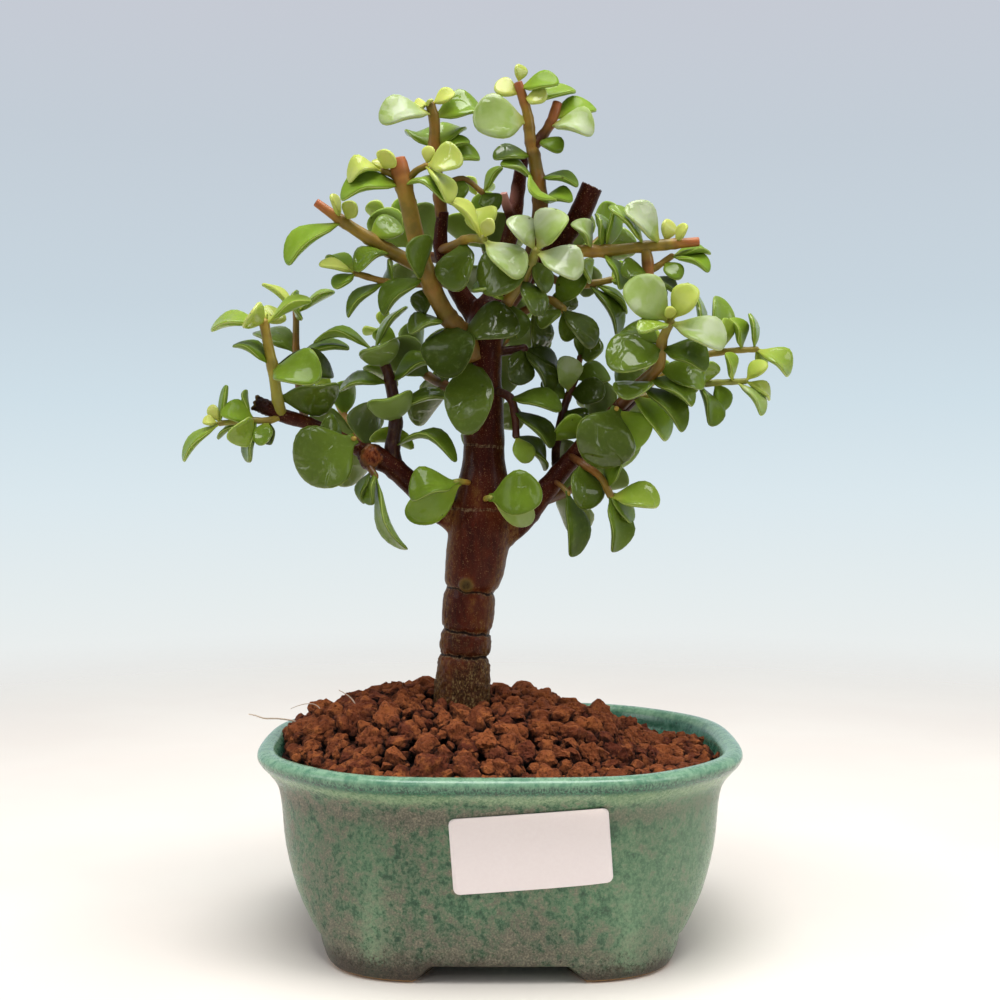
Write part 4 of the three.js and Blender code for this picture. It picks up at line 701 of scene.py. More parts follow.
# Painted shade: the clay is darkened in the crevices where neighbouring lumps close in on it.
crevice_shade = add_node(tree, "ShaderNodeAmbientOcclusion", {"Distance": 0.004}, samples=4).outputs["AO"]
tone = mix_colours(tree, rescale(tree, crevice_shade, 0.3, 0.95), "#120705", tone)
patches = rescale(tree, coarse, 0.6, 0.66, 0.0, 0.8)
specks = times(tree, dots(tree, place, 420, 0.03, 0.07), patches)
feed(tree, shader, Base_Color=mix_colours(tree, specks, tone, "#d8c8b8"))
feed(tree, shader, Roughness=rescale(tree, fine, 0.3, 0.7, 0.75, 0.98))
give_relief(tree, shader, calculate(tree, "MULTIPLY_ADD", coarse, 1.4, fine), 0.0009, 1.0)

tree = bpy.data.node_groups.new("strewn_lumps", "GeometryNodeTree")
LUMP_INPUTS = [
    ("Heap", "Geometry"), ("Lumps", "Collection"), ("Spacing", "Float"), ("Smallest", "Float"),
    ("Largest", "Float"), ("Lift", "Float"), ("Innermost", "Float"), ("Outermost", "Float"),
    ("Nearest", "Float"), ("Farthest", "Float"), ("Trunk place", "Vector"),
    ("Trunk reach", "Float"), ("Chance", "Int"), ("Clay", "Material"),
]


def open_tree(tree, inputs):
    """Named inputs for a tree: the sockets by name, and what they give inside."""
    sockets = {name: tree.interface.new_socket(name, in_out="INPUT", socket_type="NodeSocket" + kind)
               for name, kind in inputs}
    tree.interface.new_socket("Result", in_out="OUTPUT", socket_type="NodeSocketGeometry")
    return sockets, add_node(tree, "NodeGroupInput").outputs


sockets, given = open_tree(tree, LUMP_INPUTS)
place = add_node(tree, "GeometryNodeInputPosition").outputs[0]
parts = add_node(tree, "ShaderNodeSeparateXYZ", {0: place}).outputs
level = add_node(tree, "ShaderNodeCombineXYZ", {"X": parts["X"], "Y": parts["Y"]}).outputs[0]
away = add_node(tree, "ShaderNodeVectorMath", {0: level, 1: given["Trunk place"]},
                operation="DISTANCE").outputs["Value"]
clear = add_node(tree, "FunctionNodeCompare", {0: away, 1: given["Trunk reach"]},
                 data_type="FLOAT", operation="GREATER_THAN").outputs[0]
share = add_node(tree, "GeometryNodeInputNamedAttribute", {"Name": "share"}, data_type="FLOAT").outputs[0]
LIMITS = [
    (share, "Innermost", "GREATER_THAN"), (share, "Outermost", "LESS_THAN"),
    (parts["Y"], "Nearest", "GREATER_THAN"), (parts["Y"], "Farthest", "LESS_THAN"),
]
for value, limit, side in LIMITS:
    within = add_node(tree, "FunctionNodeCompare", {0: value, 1: given[limit]},
                      data_type="FLOAT", operation=side).outputs[0]
    clear = add_node(tree, "FunctionNodeBooleanMath", {0: clear, 1: within}, operation="AND").outputs[0]
strewn = add_node(tree, "GeometryNodeDistributePointsOnFaces", {
    "Mesh": given["Heap"], "Selection": clear, "Distance Min": given["Spacing"],
    "Density Max": 4e5, "Seed": given["Chance"]}, distribute_method="POISSON")
lifted = add_node(tree, "ShaderNodeCombineXYZ", {"Z": given["Lift"]}).outputs[0]
raised = add_node(tree, "GeometryNodeSetPosition", {"Geometry": strewn.outputs["Points"], "Offset": lifted})
kinds = add_node(tree, "GeometryNodeCollectionInfo", {
    "Collection": given["Lumps"], "Separate Children": True, "Reset Children": True}).outputs[0]
which = add_node(tree, "FunctionNodeRandomValue", {4: 0, 5: LUMP_KINDS - 1, 8: 1}, data_type="INT").outputs[2]
turned = add_node(tree, "FunctionNodeRandomValue", {0: (0, 0, 0), 1: (6.28, 6.28, 6.28), 8: 2},
                  data_type="FLOAT_VECTOR").outputs[0]
size = add_node(tree, "FunctionNodeRandomValue", {2: given["Smallest"], 3: given["Largest"], 8: 3},
                data_type="FLOAT").outputs[1]
placed = add_node(tree, "GeometryNodeInstanceOnPoints", {
    "Points": raised.outputs[0], "Instance": kinds, "Pick Instance": True,
    "Instance Index": which, "Rotation": turned, "Scale": size})
shade = add_node(tree, "FunctionNodeRandomValue", {2: 0.0, 3: 1.0, 8: 4}, data_type="FLOAT").outputs[1]
tinted = add_node(tree, "GeometryNodeStoreNamedAttribute", {
    "Geometry": placed.outputs[0], "Name": "tint", "Value": shade}, data_type="FLOAT", domain="INSTANCE")
solid = add_node(tree, "GeometryNodeRealizeInstances", {0: tinted.outputs[0]}).outputs[0]
finished = add_node(tree, "GeometryNodeSetMaterial", {"Geometry": solid, "Material": given["Clay"]})
add_node(tree, "NodeGroupOutput", {0: finished.outputs[0]})


def set_inputs(modifier, sockets, **values):
    """Sets a tree's inputs by the identifiers of their sockets."""
    for key, value in values.items():
        modifier[sockets[key.replace("_", " ")].identifier] = value


def join_objects(pieces):
    """Joins objects into the first of them."""
    with bpy.context.temp_override(active_object=pieces[0], selected_editable_objects=pieces,
                                   selected_objects=pieces, object=pieces[0]):
        bpy.ops.object.join()
    return pieces[0]


trunk_spot = tuple(in_place((*TRUNK_PLACE, 0)))
layers = [heap]
for fineness, spacing, smallest, largest, lift, innermost, outermost, seed in LUMP_LAYERS:
    for coarser, nearest_y, farthest_y in DEPTHS:
        layer = new_object("granules", heap.data.copy())
        strew = layer.modifiers.new("strewn", "NODES")
        strew.node_group = tree
        set_inputs(strew, sockets, Lumps=lump_kinds[fineness - coarser], Spacing=spacing * MM,
                   Smallest=smallest * MM, Largest=largest * MM, Lift=lift * MM,
                   Innermost=float(innermost), Outermost=float(outermost),
                   Nearest=nearest_y * MM, Farthest=farthest_y * MM, Trunk_place=trunk_spot,
                   Trunk_reach=(TRUNK_CLEARANCE + smallest) * MM, Chance=seed, Clay=clay)
        layers.append(plain_mesh(layer))
for collection in lump_kinds.values():
    for lump in list(collection.objects):
        bpy.data.objects.remove(lump)
    bpy.data.collections.remove(collection)
heap.data.materials.append(clay)
granules = join_objects(layers)
granules.name = "granules"
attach(granules, "root")
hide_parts("clay_granules")

# Trunk and limbs: one woody piece, thick and ringed by old leaf scars low down, forked at half its
# height, and pruned back where the limbs end. Its bark is a thin satin skin of dark red brown.
# Each station is the place of the middle, and the radius there.
TRUNK = [
  [-10.3, 0, 24, 2.5], [-10.3, 0, 34, 6.4], [-10.2, 0, 52, 7.6], [-10.1, 0, 62, 7.3],
  [-9.6, 0, 69.8, 6.9], [-9.5, 0, 71.4, 6.3], [-9.3, 0, 72.6, 6.8], [-8.9, 0, 76.8, 6.8],
  [-8.8, 0, 77.8, 6.2], [-8.7, 0, 79, 6.7], [-8, 0, 87, 6.9], [-7.9, 0, 88.4, 6.5],
  [-7.7, 0, 89.8, 7.1], [-6.3, 0, 96, 8], [-5.2, 0, 105, 8.6], [-4.6, 0, 110, 8.1],
  [-4.4, 0, 116, 6.9], [-4.2, 0, 123, 5.6], [-4.2, 0, 138, 5], [-4.2, 0, 151, 4.6],
  [-3.4, 0.5, 158, 5.2], [-2.2, 1.5, 163, 4.6], [-1.6, 2, 166, 3],
]
LIMBS = {
  "left": [
    [-7, 0, 103, 4.4], [-13.6, -1, 108.4, 3.7], [-23.6, -3, 116.9, 2.9], [-29, -4, 121.6, 2.8],
    [-33.2, -4, 123.8, 3.5], [-35.6, -4, 124.6, 2.4],
  ],
  "left_end": [
    [-33, -4, 123.6, 2.1], [-38, -4, 126.4, 1.9], [-49.3, -5, 132, 1.85], [-55.9, -5, 134, 1.9],
    [-60, -5, 136.2, 2], [-63.2, -5, 137.2, 1.9],
  ],
  "right": [
    [0, 0, 103, 4.2], [5.6, 0, 107, 3.4], [13.4, -1, 116.6, 2.8], [18.9, -1, 123.2, 2.5],
    [28, -2, 133, 2.3], [34, -2, 139, 2.2],
  ],
  "high_left": [
    [-3.5, 1, 156, 3.2], [-7, 2.4, 161.5, 2.9], [-11.8, 3, 168.5, 2.4], [-15.4, 3, 177.2, 2.1],
    [-15, 1, 187.7, 1.7],
  ],
  "top": [
    [-2.4, 3, 160, 3.2], [0, 5, 172.2, 2.6], [3.6, 5, 186, 2.2], [5, 4, 195.5, 1.9],
    [6.3, 3, 203.3, 1.5],
  ],
  "top_spur": [[3.4, 4, 184.5, 1.2], [1.6, 1.5, 189.5, 1.2], [0.8, 0, 192.4, 1.15]],
  "stump": [
    [-1.8, 1.5, 161, 3], [4.5, 3, 168.5, 2.8], [11.8, 2, 175, 2.7], [19.4, 0, 184.5, 2.8],
    [24.1, -1, 193.9, 3],
  ],
}
BARK_GRAIN = 0.45
TRUNK_SIDES = 40
LIMB_SIDES = 24
# How far apart the old leaf nodes of a limb are, and by what share it swells there
NODE_SPACING = 8.5
NODE_SWELLING = 0.09
# At a ring the trunk draws in: a soft waist, and a fine groove along its middle
RING_WAIST = 0.28
RING_GROOVE = 0.25
# Old leaf rings round the trunk: height, how far it drops from left to right, and how deep it is, as a
# share of a full waist and groove
RINGS = [(71.4, 0.65, 1), (77.8, 0.8, 0.9), (88.5, 1.05, 0.8), (109.8, 0.2, 0.22), (126.5, 0.4, 0.2)]
# Healed and fresh cuts: where, facing where, radius, how fresh from 0 to 1, and how far it is sunk.
# The last is an old scar on the trunk, which stands out a little.
WOUNDS = [
    ((-32.6, -8, 123.8), (-0.2, -1, 0.05), 2.7, 0.4, 0.25),
    ((-63.6, -5, 137.8), (-0.9, 0, 0.5), 1.5, 0.0, 0.25),
    ((34.2, -2.1, 139.2), (0.7, -0.3, 0.65), 1.9, 0.95, 0.25),
    ((24.1, -1, 193.9), (0.4, -0.2, 0.9), 2.6, 0.15, 1.6),
    ((0.8, 0, 192.5), (-0.2, -0.4, 0.9), 1.2, 0.8, 0.25),
    ((-8.7, -7.2, 90.4), (-0.05, -1, 0), 1.45, 0.08, 0.25),
]
# Ends that died back: where, how far they are rough, how rough, and how far they are blackened
ROUGH_ENDS = [((-62.6, -5, 137), 4, 0.9, 1), ((-34.5, -6.5, 124.4), 4.5, 0.75, 0.35)]
PINK_SPUR = (0.8, 0, 192)
# The knob on the left limb, where two branches were cut away
KNOB = [
    [-30.5, -4.6, 121.6, 1.5], [-31.6, -4.9, 122.4, 3.1], [-33, -5.2, 123.4, 3.6],
    [-34.8, -5.2, 124, 3.2], [-36, -5, 124.4, 1.6],
]
CROTCH_TOP = 158
OLD_BARK_BELOW = 92


def smoothed(stations, step):
    """A centripetal run through stations of [x, y, z, radius], with a step of about a length."""
    places = [np.array(station[:3], float) for station in stations]
    held = [2 * places[0] - places[1], *places, 2 * places[-1] - places[-2]]
    result = []
    for k in range(len(stations) - 1):
        p = held[k : k + 4]
        gap = [max(np.linalg.norm(p[n + 1] - p[n]) ** 0.5, 1e-4) for n in range(3)]
        first = (p[1] - p[0]) / gap[0] - (p[2] - p[0]) / (gap[0] + gap[1]) + (p[2] - p[1]) / gap[1]
        second = (p[2] - p[1]) / gap[1] - (p[3] - p[1]) / (gap[1] + gap[2]) + (p[3] - p[2]) / gap[2]
        first, second = first * gap[1], second * gap[1]
        count = max(1, round(np.linalg.norm(p[2] - p[1]) / step))
        for n in range(count):
            t = n / count
            place = p[1] + first * t
            place = place + (3 * (p[2] - p[1]) - 2 * first - second) * t**2
            place = place + (2 * (p[1] - p[2]) + first + second) * t**3
            radius = stations[k][3] + t * (stations[k + 1][3] - stations[k][3])
            result.append([*place, radius])
    return [*result, list(stations[-1])]


def tube(stations, sides):
    """Points and faces of a closed round tube through stations of [x, y, z, radius]."""
    run = np.array(stations, float)
    along = np.gradient(run[:, :3], axis=0)
    along /= np.linalg.norm(along, axis=1)[:, None]
    across = np.array([1.0, 0, 0]) if abs(along[0][2]) > 0.8 else np.array([0, 0, 1.0])
    turn = np.arange(sides) * 2 * math.pi / sides
    points = []
    for station, ahead in zip(run, along):
        across = across - ahead * across.dot(ahead)
        across /= np.linalg.norm(across)
        side = np.cross(ahead, across)
        ring = np.outer(np.cos(turn), across) + np.outer(np.sin(turn), side)
        points.append(station[:3] + station[3] * ring)
    return np.vstack(points), loft(points, closed=True)


def ringed(stations, spacing, swelling):
    """Swells a limb a little at each old leaf node."""
    travelled = 0
    result = []
    for k, station in enumerate(stations):
        if k:
            travelled += math.dist(station[:3], stations[k - 1][:3])
        away = (travelled + 0.35 * spacing) % spacing - spacing / 2
        swell = 1 + swelling * math.exp(-((away / 0.8) ** 2)) - 0.03 * math.exp(-((away / 2.4) ** 2))
        result.append([*station[:3], station[3] * swell])
    return result


def join_solids(parts):
    """Points and faces of several solids as one list of each."""
    points, faces = [], []
    for part_points, part_faces in parts:
        start = sum(len(held) for held in points)
        points.append(part_points)
        faces += [[start + n for n in face] for face in part_faces]
    return np.vstack(points), faces


parts = [tube(smoothed(TRUNK, 1), TRUNK_SIDES)]
for limb in LIMBS.values():
    parts.append(tube(ringed(smoothed(limb, 0.6), NODE_SPACING, NODE_SWELLING), LIMB_SIDES))
parts.append(tube(KNOB, 14))
scar_place, scar_facing, scar_radius = WOUNDS[-1][:3]
outward = np.array(scar_facing) / np.linalg.norm(scar_facing)
scar_steps = ((-1.5, 0.3), (0.35, 0.1), (0.5, -0.5))
scar = [[*(np.array(scar_place) + outward * out), scar_radius + more] for out, more in scar_steps]
parts.append(tube(scar, 20))
points, faces = join_solids(parts)
wood = new_object("woody_trunk", new_mesh("woody_trunk", points, faces))
remesh = wood.modifiers.new("one_skin", "REMESH")
remesh.mode = "VOXEL"
remesh.voxel_size = BARK_GRAIN
relax = wood.modifiers.new("relax", "SMOOTH")
relax.factor = 0.5
relax.iterations = 4
plain_mesh(wood)
mesh = wood.data
count = len(mesh.vertices)
places = vertex_places(mesh)
normals = np.array([vertex.normal for vertex in mesh.vertices], float)
trunk_run = np.array(TRUNK)
middle = np.column_stack([np.interp(places[:, 2], trunk_run[:, 2], trunk_run[:, k]) for k in (0, 1)])
girth = np.interp(places[:, 2], trunk_run[:, 2], trunk_run[:, 3])
offset = places[:, :2] - middle
reach = np.hypot(offset[:, 0], offset[:, 1])
on_trunk = np.clip((girth + 2.2 - reach) / 1.2, 0, 1) * (places[:, 2] < CROTCH_TOP)
sideways = offset[:, 0] / np.maximum(reach, 0.1)
rise = np.zeros(count)
groove = np.zeros(count)
for height, drop, strength in RINGS:
    for n in np.nonzero((on_trunk > 0) & (np.abs(places[:, 2] - height) < 5))[0]:
        wander = 0.5 * noise.noise(Vector((sideways[n] * 2.5, places[n, 1] * 0.3, height)))
        away = places[n, 2] - (height - drop * sideways[n] + wander)
        line = math.exp(-((away / 0.3) ** 2))
        waist = math.exp(-abs(away / 1.3) ** 1.5)
        rise[n] -= strength * on_trunk[n] * (RING_WAIST * waist + RING_GROOVE * line)
        groove[n] = max(groove[n], min(1, 0.45 + 0.6 * strength) * on_trunk[n] * line)
for n in range(count):
    place = Vector(places[n])
    old = min(1, max(0, (OLD_BARK_BELOW - place.z) / 24))
    lumps = 0.3 * noise.noise(place * 0.15) + 0.08 * noise.noise(place * 0.5)
    upright = Vector((place.x * 1.1, place.y * 1.1, place.z * 0.16))
    fissures = -abs(noise.noise(upright)) * (0.05 + 0.2 * old)
    crumble = noise.turbulence(place * 0.9, 3, False) * 0.3 * old
    rise[n] += lumps + fissures + crumble * on_trunk[n]
wound = np.zeros(count)
fresh_share = np.zeros(count)
callus = np.zeros(count)
for place, facing, radius, fresh, sunk in WOUNDS:
    outward = np.array(facing) / np.linalg.norm(facing)
    away = places - np.array(place)
    depth = away @ outward
    spread = np.linalg.norm(away - np.outer(depth, outward), axis=1)
    near = (np.abs(depth) < 1.3) & (normals @ outward > 0.45)
    share = np.where(near, np.clip((radius - spread) / 0.6 + 0.5, 0, 1), 0)
    lip = np.where(near, np.exp(-(((spread - radius) / 0.5) ** 2)), 0)
    rise += 0.3 * lip - share * sunk
    callus = np.maximum(callus, lip * (1 - fresh))
    wound = np.maximum(wound, share)
    fresh_share = np.where(share > 0, fresh, fresh_share)
for place, reach, roughness, blackened in ROUGH_ENDS:
    dead = np.clip(1.25 - np.linalg.norm(places - np.array(place), axis=1) / reach, 0, 1)
    for n in np.nonzero(dead > 0)[0]:
        crumble = noise.noise(Vector(places[n]) * 1.1) + 0.4 * noise.noise(Vector(places[n]) * 2.3)
        rise[n] += dead[n] * roughness * (crumble + 0.15)
        if blackened * dead[n] > wound[n]:
            wound[n] = blackened * dead[n]
pink = np.clip(1.3 - np.linalg.norm(places - np.array(PINK_SPUR), axis=1) / 4, 0, 1)
places += normals * rise[:, None]
mesh.vertices.foreach_set("co", in_place(places).ravel())
mesh.update()
flank = np.where(on_trunk > 0, np.abs(sideways), 0.3)
for name, values in (("wound", wound), ("flank", flank), ("fresh", fresh_share), ("pink", pink),
                     ("callus", callus), ("groove", groove)):
    set_values(mesh, name, values)
mesh.polygons.foreach_set("use_smooth", [True] * len(mesh.polygons))

# Heights in metres: the crown shades the bark from here up, and old corky crust covers it low down
CROWN_SHADE = (0.1, 0.125)
CRUST_EDGE = (0.062, 0.079)
bark, tree, shader = new_material("maroon_bark", Coat_Roughness=0.14, Specular_IOR_Level=0.08)
place = object_place(tree)
height = add_node(tree, "ShaderNodeSeparateXYZ", {0: place}).outputs["Z"]
grain = speckle(tree, object_place(tree, stretch=(1, 1, 0.2)), 800, detail=5, roughness=0.65)
blotch = speckle(tree, object_place(tree, stretch=(1, 1, 0.5)), 120, detail=5, roughness=0.62)
flecks = speckle(tree, object_place(tree, stretch=(1, 1, 0.5)), 1500, detail=4, roughness=0.7)
tone = mix_colours(tree, rescale(tree, grain, 0.3, 0.75), "#2f0b05", "#4a170b")
tone = mix_colours(tree, rescale(tree, blotch, 0.42, 0.66, 0.0, 0.7), tone, "#5f2a15")
# Golden brown in blotches and on the trunk's left and right flanks: the blotches are the bark's own tone,
# while on the flanks it is partly golden streaks and partly a painted sheen along the sides.
flank = rescale(tree, read_value(tree, "flank"), 0.55, 0.95)
golden_and_sheen = calculate(tree, "MAXIMUM", flank, rescale(tree, blotch, 0.56, 0.7))
golden_and_sheen = times(tree, golden_and_sheen, rescale(tree, flecks, 0.38, 0.6))
tone = mix_colours(tree, times(tree, golden_and_sheen, 0.55), tone, "#85602a")
shaded = rescale(tree, height, *CROWN_SHADE, 0.0, 0.5)
tone = mix_colours(tree, shaded, tone, "#351006")
aged = rescale(tree, wandering(tree, height, blotch, 0.05), *CRUST_EDGE, 1.0, 0.0)
crust = mix_colours(tree, rescale(tree, grain, 0.4, 0.6), "#6e5428", "#a8905e")
crumbs = speckle(tree, object_place(tree, stretch=(1, 1, 0.6)), 1900, detail=4, roughness=0.7)
fleck_share = rescale(tree, crumbs, 0.5, 0.62, 0.05, 0.65)
tone = mix_colours(tree, times(tree, aged, 0.55), tone, "#3d2614")
cracks = times(tree, aged, rescale(tree, crumbs, 0.4, 0.48, 0.8, 0.0))
tone = mix_colours(tree, cracks, tone, "#170a05")
tone = mix_colours(tree, times(tree, aged, fleck_share), tone, crust)
tiny = speckle(tree, place, 3200, detail=2, roughness=0.6)
pale_fleck = rescale(tree, flecks, 0.45, 0.65, 0.12, 0.75)
pale_fleck = times(tree, rescale(tree, tiny, 0.57, 0.7), pale_fleck)
tone = mix_colours(tree, pale_fleck, tone, "#a87f58")
# Pale flecks on the lips beside the ring grooves: partly the bark's own pale flecks, partly a painted
# highlight on the lip.
near_lip = rescale(tree, read_value(tree, "groove"), 0.05, 0.3)
lip_flecks_and_highlight = times(tree, near_lip, rescale(tree, flecks, 0.45, 0.62, 0.05, 0.6))
tone = mix_colours(tree, lip_flecks_and_highlight, tone, "#9a8262")
# The ring grooves get a near-black line: partly the scar's own dark line, partly painted shade in the groove.
sunk = rescale(tree, read_value(tree, "groove"), 0.22, 0.8, 0.0, 0.9)
tone = mix_colours(tree, sunk, tone, "#150704")
# Painted shade: the bark is darkened in its hollows and creases, where the surface bends inwards.
crease_shade = add_node(tree, "ShaderNodeNewGeometry").outputs["Pointiness"]
tone = mix_colours(tree, rescale(tree, crease_shade, 0.44, 0.49, 0.8, 0.0), tone, "#120504")
fresh = read_value(tree, "fresh")
CORE_TONES = [(0.0, "#1b0d09"), (0.08, "#483817"), (0.15, "#2a140e"), (0.4, "#7a4020"), (1.0, "#dc9f70")]
core = colour_steps(tree, fresh, CORE_TONES)
core = mix_colours(tree, rescale(tree, flecks, 0.4, 0.65), core, "#8a5030", "MULTIPLY")
tone = mix_colours(tree, read_value(tree, "wound"), tone, core)
corky = mix_colours(tree, flecks, "#5a4420", "#8d7238")
tone = mix_colours(tree, times(tree, read_value(tree, "callus"), 0.55), tone, corky)
tone = mix_colours(tree, times(tree, read_value(tree, "pink"), 0.95), tone, "#efaa9e")
matt = calculate(tree, "MULTIPLY_ADD", aged, 0.35, flecks)
feed(tree, shader, Base_Color=tone, Roughness=rescale(tree, matt, 0.3, 1, 0.32, 0.75))
feed(tree, shader, Coat_Weight=rescale(tree, read_value(tree, "groove"), 0.0, 0.4, 0.08, 0.0))
rougher = calculate(tree, "ADD", 0.35, aged)
relief = calculate(tree, "MULTIPLY_ADD", times(tree, flecks, 1.6), rougher, grain)
give_relief(tree, shader, relief, 0.00022, 0.6)
mesh.materials.append(bark)
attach(wood, "root")
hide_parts("trunk_and_limbs")

# Root fibres: three dry hair roots of an earlier repotting, thin and straw-coloured, that stick out
# of the granules at the left.
ROOT_FIBRES = [
    [[-66.4, 0, 55.6, 0.12], [-64.5, -0.3, 55.3, 0.18], [-62.3, -0.6, 54.6, 0.2], [-59.1, -0.8, 54.6, 0.2],
     [-55.9, -1, 54.3, 0.22], [-53.5, -1.2, 53.7, 0.24], [-50.5, -1.4, 50.5, 0.2]],
    [[-54.4, -6, 58.1, 0.06], [-52.8, -6, 58.8, 0.08], [-50.6, -6, 59.4, 0.1], [-48.6, -5.5, 59.3, 0.12],
     [-47.3, -5, 58.5, 0.14], [-46, -4.5, 56, 0.14]],
    [[-41.6, -8, 63.4, 0.1], [-39, -8, 61.8, 0.14], [-37.4, -8, 59.8, 0.16], [-36.6, -8, 56.5, 0.16]],
]
points, faces = join_solids([tube(smoothed(fibre, 1), 6) for fibre in ROOT_FIBRES])
fibres = new_object("root_fibres", new_mesh("root_fibres", in_place(points), faces))
material, tree, shader = new_material("dry_root", Roughness=0.8)
straw = mix_colours(tree, speckle(tree, object_place(tree), 900), "#b3947a", "#e4d2bd")
feed(tree, shader, Base_Color=straw)
fibres.data.materials.append(material)
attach(fibres, "root")

# Leafy shoots: each pair of thick, juicy leaves stands crosswise to the pair below, on smooth stems
# that turn from green to red brown as they ripen. Every shoot is one piece of stem and leaves.
# The leaf blank has length, width and thickness one, and every leaf is a copy of it by rule.
BLANK_STATIONS = [-0.08, 0.01, 0.07, 0.14, 0.23, 0.34, 0.47, 0.6, 0.72, 0.82, 0.9, 0.955, 0.99, 0.9995]
BLANK_SIDES = 12

